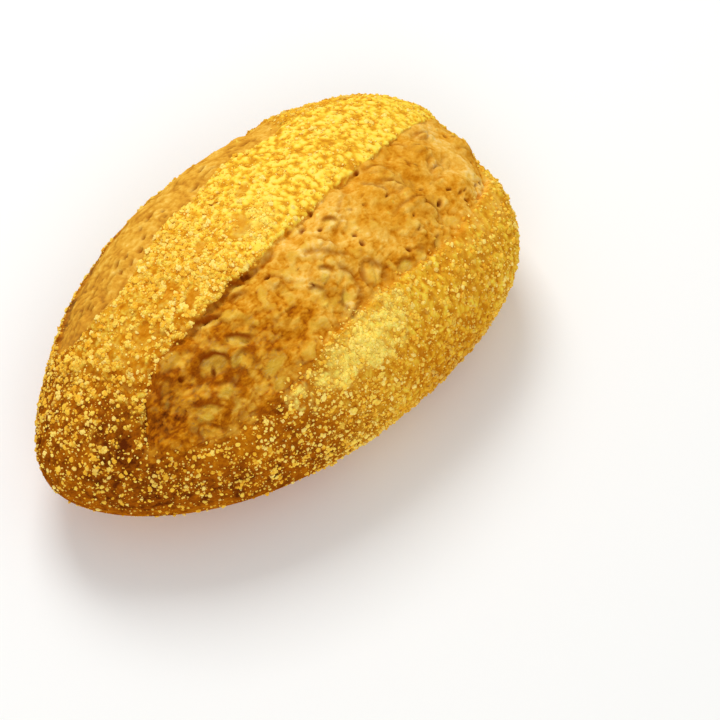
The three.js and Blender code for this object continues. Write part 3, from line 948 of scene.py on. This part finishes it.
coat_brown = mix(coat_brown, 0.38 - 0.2 * small - 0.14 * tiny + 0.1 * middling, brushed)
browning = wide_brown * wide + side_brown * side + coat_brown * (1 - np.clip(wide + side, 0, 1))
print("browning under the meal:", coat_brown[coat > 0.5].mean().round(2))

# %% Browning and painted highlight that follow the relief
# Where the torn skin stands higher it is drawn paler: painted highlight on the lumps, together with the
# skin's own uneven tone.
skin_tone_and_highlight = 0.18 * small + 0.13 * tiny + 0.08 * fibres - 0.16 * middling
browning -= torn * skin_tone_and_highlight * mix(1, 0.75, smooth_skin)
browning -= (0.14 * late_torn + 0.16 * side) * fibres
# Seed tops and the near rims of pits are drawn paler here: painted highlight.
browning += torn * (0.12 * wrinkles - 0.07 * seed_and_rim_highlight) - 0.25 * dish * wide
browning += 0.06 * web - 0.1 * opened + 0.07 * broad + 0.04 * folded * torn
browning += 0.16 * scale_edge - 0.06 * scale_top
browning = np.minimum(browning, mix(1, 0.8, wide))
print("spread of the browning on the blooms:", browning[torn > 0.5].std().round(2))

# %% Browning beside the lip, and painted shade under it
BROWNED_STRIP_EDGE = 7  # mm
from_lip = (lip - w_grid) * WIDTH / 2
near_lip = peak(from_lip, 0, BROWNED_STRIP_EDGE) * between(s_grid, -0.72, -0.5, 0.06) * (1 - wide)
browning += 0.12 * near_lip * smoothstep(middling, -0.3, 0.3)
# Right under the lip the bloom is darkened: painted shade of the overhanging lip.
shade_under_lip = 1 - smoothstep(np.abs(w_grid - lip - 0.012), 0.0, 0.03)
shaded = wide * smoothstep(middling, 0.0, 0.4) * between(s_grid, -0.45, 0.2, 0.2)
browning += 0.25 * shade_under_lip * shaded
print("browning right under the lip:", browning[shade_under_lip * wide > 0.5].mean().round(2))

# %% Patches that browned more or less
# For each patch: the change, then s, w, length, width and turn.
TONED_PATCHES = [
    (0.14, (-0.61, 0.48, 30, 18, 20)),
    (0.12, (-0.76, 0.42, 50, 30, 60)),
    (0.10, (-0.56, 0.55, 16, 10, 0)),
    (-0.11, (-0.22, 0.27, 42, 24, -20)),
    (-0.12, (-0.38, 0.66, 30, 14, -30)),
    (-0.10, (-0.43, 0.22, 24, 12, -20)),
    (-0.08, (0.22, 0.42, 24, 16, 0)),
    (-0.08, (0.66, 0.80, 44, 20, 0)),
]
toned = np.zeros_like(s_grid)
for change, patch in TONED_PATCHES:
    toned += change * cover(patch, 0.35 * middling, (0.4, 1.2))
browning += toned
print("mean browning of the dome:", browning[on_dome].mean().round(2))

# %% [markdown]
# ## How glassy
#
# Where a bubble's skin is thin, the moist crumb shows through it, more lemon than the gold round
# it. Light that scatters under the skin would be the physical way. A plain share of another
# colour looks the same at this size and also survives the export.

# %% Glassy skin
# For each patch: s, w, length, width and turn.
GLASSY_PATCHES = [
    (-0.36, 0.47, 9, 6, 20),
    (-0.45, 0.59, 9, 6, 0),
    (-0.28, 0.61, 10, 7, 10),
    (-0.30, 0.70, 9, 5, 10),
    (0.03, 0.39, 7, 4, 30),
    (0.30, 0.60, 6, 6, 45),
    (0.05, 0.54, 6, 5, 0),
    (-0.21, 0.13, 8, 4, -10),
    (-0.55, 0.66, 9, 5, 10),
    (-0.32, 0.41, 7, 4, 10),
]
glassy = 0.5 * opened * smoothstep(tiny - 0.5 * small, -0.5, 0.3)
glassy = np.maximum(glassy, 0.75 * dish)
glassy = np.maximum(glassy, 0.6 * scale_top)
glassy = np.maximum(glassy, 0.4 * smoothstep(small - 0.6 * tiny, 0.35, 0.75) * rough)
for patch in GLASSY_PATCHES:
    glassy = np.maximum(glassy, cover(patch, 0.35 * small, (0.55, 1.1)))
glassy *= wide * (1 - 2.5 * np.clip(toned, 0, 0.2))
print("mean glassy share of the wide bloom:", glassy[wide > 0.5].mean().round(2))

# %% [markdown]
# ## One mesh for the crust
#
# The rings are joined by quads, with a fan at each pole. A quad on torn dough is rarely flat, and
# each is cut along its shorter diagonal, because a fixed diagonal combs the steep relief into
# stripes. A subdivision surface would round the seeds and pits away, so the mesh is shown as it
# is, with smooth shading.

# %% A mesh from arrays


def make_mesh(name, corners, faces, smooth, fields):
    """A mesh object from corners in mm and faces, with number fields kept on its points."""
    mesh = bpy.data.meshes.new(name)
    mesh.from_pydata((corners * MM).tolist(), [], faces.tolist())
    if smooth:
        mesh.shade_smooth()
    else:
        mesh.shade_flat()
    for field, values in fields.items():
        attribute = mesh.attributes.new(field, "FLOAT", "POINT")
        attribute.data.foreach_set("value", np.ascontiguousarray(values, np.float32).ravel())
    piece = bpy.data.objects.new(name, mesh)
    bpy.context.collection.objects.link(piece)
    return piece


rows, columns = s_grid.shape
index = np.arange(rows * columns).reshape(rows, columns)
beside = np.roll(index, -1, 1)
print("corners of the rings:", index.size)

# %% Quads cut along their shorter diagonal
a, b, c, d = (grid.ravel() for grid in (index[:-1], index[1:], beside[1:], beside[:-1]))
corners = surface.reshape(-1, 3)
a_to_c = np.linalg.norm(corners[a] - corners[c], axis=1)
b_to_d = np.linalg.norm(corners[b] - corners[d], axis=1)
cut_a_to_c = np.stack([a, b, c, a, c, d], -1)
cut_b_to_d = np.stack([a, b, d, b, c, d], -1)
quads = np.where((a_to_c < b_to_d)[:, None], cut_a_to_c, cut_b_to_d).reshape(-1, 3)
narrow_pole, blunt_pole = rows * columns, rows * columns + 1
narrow_cap = np.stack([np.full(columns, narrow_pole), index[0], beside[0]], -1)
blunt_cap = np.stack([np.full(columns, blunt_pole), beside[-1], index[-1]], -1)
crust_faces = np.concatenate([quads, narrow_cap, blunt_cap])
crust_corners = np.concatenate([corners, [surface[0].mean(0), surface[-1].mean(0)]])
print("crust triangles:", len(crust_faces))

# %% Fields that the crust's colour needs
MEAL_SPECKLING = 0.14
dusting = paste * (1 + 1.2 * fine) - 0.1
field_grids = {
    "browning": browning,
    "glassy": 0.7 * glassy,
    "hollow_shade": hollow_shade,
    "meal": 0.9 * np.clip(np.maximum(dusting, clumps), 0, 1),
    "meal_highlight_and_roast": meal_highlight_and_roast - MEAL_SPECKLING / 2,
    # The flour thins where the pillows dip, so the darker meal shows: painted shade between the lumps.
    "flour": flour * np.clip(0.45 + 0.7 * pillows + 0.35 * small, 0, 1) + 0.1 * side,
    "dust": np.clip(coat, 0, 1) * (1 - 0.6 * clumps) - 0.2 * roast,
}
crust_fields = {}
for name, field in field_grids.items():
    crust_fields[name] = np.concatenate([field.ravel(), [field[0].mean(), field[-1].mean()]])
crust = make_mesh("crust", crust_corners, crust_faces, True, crust_fields)
print("fields on the crust:", ", ".join(crust_fields))

# %% [markdown]
# ## Baked crust as a material
#
# Bread crust is starch and sugar browned by dry heat in the oven. It is matt and gives the eye
# its colour alone: an IOR of 1.45 and a roughness of 0.65 are usual, and the sheen is turned off
# because the pores swallow it. The colour runs along one browning scale, from pale dough over
# gold to dark brown. A painted map could hold it, but then it would have to be unwrapped and kept
# in a file. Ramps read from the fields need neither.

# %% Colours of the crust
BROWNING_SCALE = {
    0.0: "#FCD888",
    0.2: "#F2BC50",
    0.4: "#E19D2A",
    0.6: "#C87A0E",
    0.8: "#A0540A",
    1.0: "#5E2608",
}
# The fused meal's ramp runs from the darker gaps between the clumps to their lit tops, so part of it is
# painted light.
FUSED_MEAL = {0.0: "#C67A10", 0.3: "#EFB42A", 0.6: "#FEE04C", 1.0: "#FFE96E"}
GLASSY_CRUMB = {0.0: "#AE7810", 0.5: "#E4BC40", 1.0: "#FFF4A8"}
# The dark brown of the hollows is painted shade in pits, crescents, moats and creases.
DUST_YELLOW, MEAL_DUST, HOLLOW_SHADE_COLOUR = "#F0BC38", "#FFF278", "#8E4004"
NO_SHEEN = 0.0
CRUST_IOR, CRUST_ROUGHNESS = 1.45, 0.65
print("mid browning in linear light:", np.round(linear(BROWNING_SCALE[0.4]), 3))

# %% Patterns of the crust
# Torn dough is streaked along the loaf. Its finest pores and dust measure about 0.3 mm and are
# drawn three times as coarse, because they would not show otherwise.
STREAK_SIZE, SPECK_SIZE = (5, 2, 2), 0.9  # mm
streaks_per_mm = [1 / size for size in STREAK_SIZE]
crust_finish = bpy.data.materials.new("baked_crust")
crust_finish.use_nodes = True
crust_finish.node_tree.nodes.clear()
on_crust = {}
for name in crust_fields:
    on_crust[name] = add_node(crust_finish, "Attribute", {"attribute_name": name}, out="Fac")
place = add_node(crust_finish, "TexCoord", out="Object")
place_mm = add_node(crust_finish, "VectorMath", {"operation": "SCALE"}, in_0=place, Scale=1 / MM)
times = {"operation": "MULTIPLY"}
streaks = add_node(crust_finish, "VectorMath", times, in_0=place_mm, in_1=streaks_per_mm)
mottle = add_node(
    crust_finish, "TexNoise", Vector=streaks, Scale=1.0, Detail=4.0, Roughness=0.65, Distortion=1.2
)
speck = add_node(
    crust_finish, "TexNoise", Vector=place_mm, Scale=1 / SPECK_SIZE, Detail=2.0, Roughness=0.6
)
print("nodes for the patterns:", len(crust_finish.node_tree.nodes))

# %% Colour of bare crust and of fused meal
# Both noises lie about 0.5, so their mean is taken off before the scale is read.
MOTTLING, SPECKLING = 0.4, 0.24
MEAN_NOISE = (MOTTLING + SPECKLING) / 2
times_plus = {"operation": "MULTIPLY_ADD"}
times_plus_clamped = {"operation": "MULTIPLY_ADD", "use_clamp": True}
minus_clamped = {"operation": "SUBTRACT", "use_clamp": True}
brown = add_node(
    crust_finish, "Math", times_plus, in_0=mottle, in_1=MOTTLING, in_2=on_crust["browning"]
)
brown = add_node(crust_finish, "Math", times_plus, in_0=speck, in_1=SPECKLING, in_2=brown)
brown = add_node(crust_finish, "Math", minus_clamped, in_0=brown, in_1=MEAN_NOISE)
skin = add_node(crust_finish, "ValToRGB", {"stops": BROWNING_SCALE}, Fac=brown)
# The meal also lightens with the speck noise that raises the pores: painted highlight at the finest
# size.
meal_lightness = add_node(
    crust_finish, "Math", times_plus_clamped, in_0=speck, in_1=MEAL_SPECKLING, in_2=on_crust["meal_highlight_and_roast"]
)
meal_colour = add_node(crust_finish, "ValToRGB", {"stops": FUSED_MEAL}, Fac=meal_lightness)
glassy_colour = add_node(crust_finish, "ValToRGB", {"stops": GLASSY_CRUMB}, Fac=mottle)
print("stops of the browning scale:", len(BROWNING_SCALE))

# %% Dots of meal dust
# Dust is a dot round the heart of each Voronoi cell, and the share of dust widens the dots. The
# real specks are finer and are drawn at 1.15 mm so that they show.
DUST_PITCH = 1.15
DOT_SPREAD, DOT_EDGE, DOT_START = 1.5, -3.0, -0.05
heart_distance = add_node(crust_finish, "TexVoronoi", Vector=place_mm, Scale=1 / DUST_PITCH)
dot_reach = add_node(
    crust_finish, "Math", times_plus, in_0=on_crust["dust"], in_1=DOT_SPREAD, in_2=DOT_START
)
dot = add_node(
    crust_finish, "Math", times_plus_clamped, in_0=heart_distance, in_1=DOT_EDGE, in_2=dot_reach
)
print("dust dots to the centimetre:", round(10 / DUST_PITCH, 1))

# %% Coats over each other
# Each coat covers the ones before it where its share is high.
PORE_DEPTH, PORE_STRENGTH = 0.3 * MM, 0.6
coats = [
    (on_crust["glassy"], glassy_colour),
    (dot, linear(DUST_YELLOW)),
    (on_crust["meal"], meal_colour),
    (on_crust["flour"], linear(MEAL_DUST)),
    # The last coat is painted shade in the hollows.
    (on_crust["hollow_shade"], linear(HOLLOW_SHADE_COLOUR)),
]
mix_colours = {"data_type": "RGBA"}
for share, colour in coats:
    skin = add_node(crust_finish, "Mix", mix_colours, out=2, in_0=share, in_6=skin, in_7=colour)
grainy = add_node(crust_finish, "Math", {"operation": "ADD"}, in_0=speck, in_1=dot)
pores = add_node(
    crust_finish, "Bump", Strength=PORE_STRENGTH, Distance=PORE_DEPTH, Height=grainy
)
crust_skin = add_node(
    crust_finish,
    "BsdfPrincipled",
    Base_Color=skin,
    Roughness=CRUST_ROUGHNESS,
    IOR=CRUST_IOR,
    Specular_IOR_Level=NO_SHEEN,
    Normal=pores,
)
add_node(crust_finish, "OutputMaterial", Surface=crust_skin)
crust.data.materials.append(crust_finish)
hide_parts("loaf")
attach(crust, "root")
print("nodes of baked_crust:", len(crust_finish.node_tree.nodes))

# %% [markdown]
# ## Grains of meal
#
# Coarse meal is cracked maize: angular grits of one to two millimetres, finer meal, and clumps
# where damp meal stuck together. A particle system would scatter them quickly, but the loaf is
# also kept as plain meshes, so each kind is one joined mesh of real grains. A few different
# grains are cut as templates, and arrays turn, size and set thousands of copies on the crust.

# %% Plain forms of the grains
SHARD_TIPS = [[1, 0, 0], [0, 1, 0], [-1, 0, 0], [0, -1, 0], [0, 0, 1], [0, 0, -1]]
BLOCK_SIZE = 1.25
CLUSTER_BALLS, CLUSTER_SPREAD, CLUSTER_STEP, CLUSTER_BALL = 4, 0.5, 0.3, 0.6


def plain_form(kind):
    """Corners and triangles: 8 for a shard, 12 for a block, 20 for a grit, 80 for a cluster."""
    if kind == "shard":
        upper_faces = [[i, (i + 1) % 4, 4] for i in range(4)]
        lower_faces = [[(i + 1) % 4, i, 5] for i in range(4)]
        return np.array(SHARD_TIPS, float), np.array(upper_faces + lower_faces)
    form = bmesh.new()
    if kind == "block":
        bmesh.ops.create_cube(form, size=BLOCK_SIZE)
        bmesh.ops.triangulate(form, faces=form.faces)
    elif kind == "grit":
        bmesh.ops.create_icosphere(form, subdivisions=1, radius=1)
    else:
        for ball in range(CLUSTER_BALLS):
            turn = np.radians(360 * ball / CLUSTER_BALLS)
            step = CLUSTER_STEP * (ball % 2)
            heart = Vector((CLUSTER_SPREAD * np.cos(turn), CLUSTER_SPREAD * np.sin(turn), step))
            moved = Matrix.Translation(heart)
            bmesh.ops.create_icosphere(form, subdivisions=1, radius=CLUSTER_BALL, matrix=moved)
    corners = np.array([corner.co[:] for corner in form.verts])
    faces = np.array([[corner.index for corner in face.verts] for face in form.faces])
    form.free()
    return corners, faces


for kind in ("shard", "block", "grit", "cluster"):
    print(kind, "triangles:", len(plain_form(kind)[1]))

# %% Cracked templates
TEMPLATES = 24
KNOCKS = 0.4  # share of the ruggedness that is random from corner to corner
NARROWEST, WIDEST = (0.95, 0.75, 0.6), (1.3, 1.05, 0.9)


def grain_templates(kind, rugged, knobs):
    """Templates of one kind: its plain form with dents, a little longer than wide."""
    corners, faces = plain_form(kind)
    templates = []
    for _ in range(TEMPLATES):
        offset = random.uniform(-50, 50, 3)
        dents = np.array([noise.noise(place) for place in (corners * knobs + offset).tolist()])
        length = 1 + rugged * dents + random.uniform(-KNOCKS, KNOCKS, len(corners)) * rugged
        stretch = random.uniform(NARROWEST, WIDEST)
        templates.append(corners * length[:, None] * stretch)
    return np.array(templates), faces


print("templates of each kind:", TEMPLATES)

# %% [markdown]
# ## Dry maize as a material
#
# A grit is hard starch, cracked between rollers: pale where it is floury, deep yellow where it is
# horny, and toasted amber where it lay on hot crust. Broken faces scatter the light, so it is as
# matt as the crust, with a roughness of 0.7. Separate materials for pale and dark grains would
# do. Two numbers on each grain do it in one: one picks its yellow and one its toasting.

# %% Meal material
MAIZE_YELLOWS = {0.0: "#F2B42E", 0.35: "#FACA44", 0.7: "#FEDE60", 1.0: "#FFE682"}
TOASTED = "#CE8C1E"
MAIZE_IOR, MAIZE_ROUGHNESS = 1.45, 0.7
CHIP_SIZE, CHIP_DEPTH, CHIP_STRENGTH = 0.5, 0.12 * MM, 0.4
DARKEST_DENT_SHADE, CHIP_CONTRAST = 0.85, 0.3
meal_finish = bpy.data.materials.new("ground_maize")
meal_finish.use_nodes = True
meal_finish.node_tree.nodes.clear()
tone = add_node(meal_finish, "Attribute", {"attribute_name": "tone"}, out="Fac")
toast = add_node(meal_finish, "Attribute", {"attribute_name": "toast"}, out="Fac")
place = add_node(meal_finish, "TexCoord", out="Object")
place_mm = add_node(meal_finish, "VectorMath", {"operation": "SCALE"}, in_0=place, Scale=1 / MM)
crumbly = add_node(meal_finish, "TexNoise", Vector=place_mm, Scale=1 / CHIP_SIZE, Detail=2.0)
maize = add_node(meal_finish, "ValToRGB", {"stops": MAIZE_YELLOWS}, Fac=tone)
maize = add_node(
    meal_finish, "Mix", mix_colours, out=2, in_0=toast, in_6=maize, in_7=linear(TOASTED)
)
# The same noise that dents the chips darkens them where they dip: painted shade in the dents, along with
# the grain's own uneven tone.
dent_shade = add_node(
    meal_finish, "Math", times_plus, in_0=crumbly, in_1=CHIP_CONTRAST, in_2=DARKEST_DENT_SHADE
)
maize = add_node(meal_finish, "VectorMath", {"operation": "SCALE"}, in_0=maize, Scale=dent_shade)
chips = add_node(
    meal_finish, "Bump", Strength=CHIP_STRENGTH, Distance=CHIP_DEPTH, Height=crumbly
)
grit_skin = add_node(
    meal_finish,
    "BsdfPrincipled",
    Base_Color=maize,
    Roughness=MAIZE_ROUGHNESS,
    IOR=MAIZE_IOR,
    Specular_IOR_Level=NO_SHEEN,
    Normal=chips,
)
add_node(meal_finish, "OutputMaterial", Surface=grit_skin)
print("nodes of ground_maize:", len(meal_finish.node_tree.nodes))

# %% [markdown]
# ## Where each kind gathers
#
# Damp clumps lie where the coat is open, fine meal almost everywhere. Where the meal is fused,
# few loose grains are left. Some roll into the torn edges and stay there. A painted density for
# each kind is the usual way. Here each is a sum of the fields that shaped the crust, so no grain
# lies where its own hollow or bare patch says otherwise.

# %% Density of loose and damp meal
EDGE_WIDTH = 0.03  # in w
foot_rim = 0.4 * peak(w_grid, foot - 0.01, EDGE_WIDTH) * wide
lip_rim = 0.6 * peak(w_grid, lip + 0.01, EDGE_WIDTH) * smoothstep(s_grid, -0.45, -0.6) * on_dome
rims = (foot_rim + lip_rim) * smoothstep(tiny, -0.2, 0.4)
held = smoothstep(gathered, 0.85 - coat, 1.25 - coat) * (coat > 0.05)
fused = smoothstep(s_grid, -0.5, 0.15) * mix(0.85, 1, on_top) * (1 - 0.6 * flour)
fused = np.maximum(fused, 0.9 * smoothstep(s_grid, 0.3, 0.7) * (1 - flour))
loose = mix(coat, held, mix(0.35, 0.8, on_top)) * mix(1, 0.8, smoothstep(s_grid, -0.35, -0.6)) + rims
on_narrow_top = on_top * smoothstep(s_grid, 0.0, -0.4)
damp = held * mix(1, 0.1, fused) * (0.25 + 0.75 * on_narrow_top) * (1 - flour)
damp *= mix(1, smoothstep(from_lip, 2, 10), smoothstep(s_grid, -0.35, -0.5))
everywhere = 0.04 * on_dome * (1 - torn)
print("mean density, loose and damp:", loose.mean().round(2), damp.mean().round(2))

# %% [markdown]
# ## Strewing the grains
#
# Each cell of the crust's grid gets a chance in proportion to its area and to how thick that kind
# lies there. A grain sits on its flatter side and is partly sunk, since it was pressed on before
# baking. Geometry nodes could scatter them as well, but one seeded draw in arrays gives the same
# grains in every run and keeps one tone for each.

# %% Places on the crust
across_cell = np.roll(surface, -1, 1)[:-1] - surface[:-1]
along_cell = surface[1:] - surface[:-1]
cell_areas = np.linalg.norm(np.cross(across_cell, along_cell), axis=-1)
TILT = 0.22  # how far grains lean off the crust's normal


def at_places(values, row, column, share_along, share_across):
    """Values between the four corners of a grid cell."""
    next_column = (column + 1) % columns
    here = mix(values[row, column], values[row + 1, column], share_along)
    next_to_it = mix(values[row, next_column], values[row + 1, next_column], share_along)
    return mix(here, next_to_it, share_across)


def unit(vectors):
    return vectors / np.linalg.norm(vectors, axis=1, keepdims=True)


print("crust area, square cm:", (cell_areas.sum() / 100).round())

# %% Strew one kind of grain
MOSTLY_SMALL = 1.7  # above 1, small sizes are drawn more often
FLOURY_TONE, TONE_BY_FLOUR = 0.9, 0.7
TOAST_SPREAD, MOST_TOAST = 0.13, 0.8


def strew(name, count, sizes, density, kind, rugged, knobs, sunk):
    """One joined mesh of `count` grains, `sizes` mm across, where the field `density` is high."""
    chance = cell_areas * np.maximum(density[:-1], 0)
    chosen = random.choice(chance.size, count, p=chance.ravel() / chance.sum())
    cell = (*np.divmod(chosen, columns), *random.random((2, count, 1)))
    up = unit(at_places(surface_normals, *cell) + random.normal(0, TILT, (count, 3)))
    forward = unit(np.cross(up, random.normal(0, 1, (count, 3))))
    axes = np.stack([forward, np.cross(up, forward), up], 1)

    size = mix(*sizes, random.random(count) ** MOSTLY_SMALL)
    templates, faces = grain_templates(kind, rugged, knobs)
    grains = templates[random.integers(TEMPLATES, size=count)] * (size / 2)[:, None, None]
    grains[..., 2] += (0.5 - sunk) * size[:, None]
    corners = at_places(surface, *cell)[:, None] + np.einsum("nvk,nkx->nvx", grains, axes)
    corners[..., 2] = np.maximum(corners[..., 2], 0)
    corners_each = templates.shape[1]
    all_faces = faces + (np.arange(count) * corners_each)[:, None, None]

    roast_here, flour_here = at_places(np.stack([roast, flour], -1), *cell).T
    tone = mix(random.random(count), FLOURY_TONE, TONE_BY_FLOUR * flour_here)
    toast = np.clip(roast_here + random.normal(0, TOAST_SPREAD, count), 0, MOST_TOAST)
    numbers = {"tone": np.repeat(tone, corners_each), "toast": np.repeat(toast, corners_each)}
    piece = make_mesh(name, corners.reshape(-1, 3), all_faces.reshape(-1, 3), False, numbers)
    piece.data.materials.append(meal_finish)
    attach(piece, "root")
    print(name, count, "grains,", len(piece.data.polygons), "triangles")


print("share of the crust where grains may lie:", (loose > 0.05).mean().round(2))

# %% Strew all kinds of meal
# For each kind: count, sizes in mm, density, form, ruggedness, knobs and the share that is sunk.
# Where meal is fused, only the given share of the loose grains is left, such as 0.07.
KINDS = {
    "meal_clumps": (700, (1.6, 3.4), damp, "cluster", 0.3, 2.0, 0.5),
    "coarse_grits": (3700, (1.1, 2.4), loose * mix(1, 0.07, fused), "grit", 0.5, 1.5, 0.42),
    "medium_grits": (7200, (0.7, 1.4), loose * mix(1, 0.12, fused), "block", 0.3, 1.5, 0.38),
    "fine_meal": (10000, (0.4, 0.9), loose * mix(1, 0.15, fused) + everywhere, "shard", 0.3, 1.5, 0.3),
}
for name, kind in KINDS.items():
    strew(name, *kind)

# %% [markdown]
# ## Table, lamps and world
#
# A pale matt table and a white room keep the shadows soft. One lamp stands behind the loaf and a
# wider, weaker one on the near side, as in a light tent. A picture of a sky could light it too,
# but it would have to be a file, and its shadows could not be steered.

# %% Table
HALF_TABLE = 3.0  # metres
TABLE_ROUGHNESS = 0.8
quarters = ((-1, -1), (1, -1), (1, 1), (-1, 1))
table_corners = [(x * HALF_TABLE, y * HALF_TABLE, 0) for x, y in quarters]
table_mesh = bpy.data.meshes.new("table")
table_mesh.from_pydata(table_corners, [], [(0, 1, 2, 3)])
table = bpy.data.objects.new("table", table_mesh)
bpy.context.collection.objects.link(table)
# Matt laminate scatters all light and has no pattern of its own.
table_finish = bpy.data.materials.new("matt_white_laminate")
table_finish.use_nodes = True
laminate = table_finish.node_tree.nodes["Principled BSDF"].inputs
laminate["Base Color"].default_value = linear("#F6F6F4")
laminate["Roughness"].default_value = TABLE_ROUGHNESS
table_mesh.materials.append(table_finish)
print("table, m:", 2 * HALF_TABLE, "square")

# %% World
ROOM_STRENGTH = 0.55
world = bpy.data.worlds.new("white_room")
world.use_nodes = True
room_light = world.node_tree.nodes["Background"].inputs
room_light["Color"].default_value = linear("#FFFFFF")
room_light["Strength"].default_value = ROOM_STRENGTH
bpy.context.scene.world = world
print("strength of the room's light:", ROOM_STRENGTH)

# %% Lamps
LAMP_TARGET = Vector((0, 0, 0.04))


def heading(azimuth, elevation, distance):
    """A point at a distance from the origin, in the direction of an azimuth and an elevation."""
    azimuth, elevation = np.radians([azimuth, elevation])
    flat = np.cos(elevation)
    return distance * Vector((np.sin(azimuth) * flat, -np.cos(azimuth) * flat, np.sin(elevation)))


def aim(thing, target):
    thing.rotation_euler = (target - thing.location).to_track_quat("-Z", "Y").to_euler()


def lamp(name, azimuth, elevation, distance, size, watts):
    light = bpy.data.lights.new(name, "AREA")
    light.size, light.energy = size, watts
    soft_box = bpy.data.objects.new(name, light)
    soft_box.location = heading(azimuth, elevation, distance)
    aim(soft_box, LAMP_TARGET)
    bpy.context.collection.objects.link(soft_box)
    print(name, watts, "W")


lamp("soft_box_behind", azimuth=155, elevation=55, distance=1.3, size=0.6, watts=9.0)
lamp("soft_box_near", azimuth=-40, elevation=38, distance=1.6, size=1.0, watts=7.0)

# %% [markdown]
# ## Camera
#
# The camera looks down steeply on the near narrow side, as one looks at a loaf on a table. A
# short lens from close by would show more of the crust's depth, but it would swell the near end.
# A long lens from further off keeps the loaf's ends in proportion.

# %% Camera
AIM = Vector((0.0282, -0.0296, 0))
CAMERA_AZIMUTH, CAMERA_ELEVATION, CAMERA_DISTANCE = -42.5, 58, 1.3
camera = bpy.data.objects.new("camera", bpy.data.cameras.new("camera"))
camera.data.lens, camera.data.sensor_width = 148.6, 36
camera.location = AIM + heading(CAMERA_AZIMUTH, CAMERA_ELEVATION, CAMERA_DISTANCE)
aim(camera, AIM)
bpy.context.collection.objects.link(camera)
bpy.context.scene.camera = camera
bpy.context.scene.view_settings.view_transform = "Standard"
print("camera at, m:", np.round(camera.location, 3))
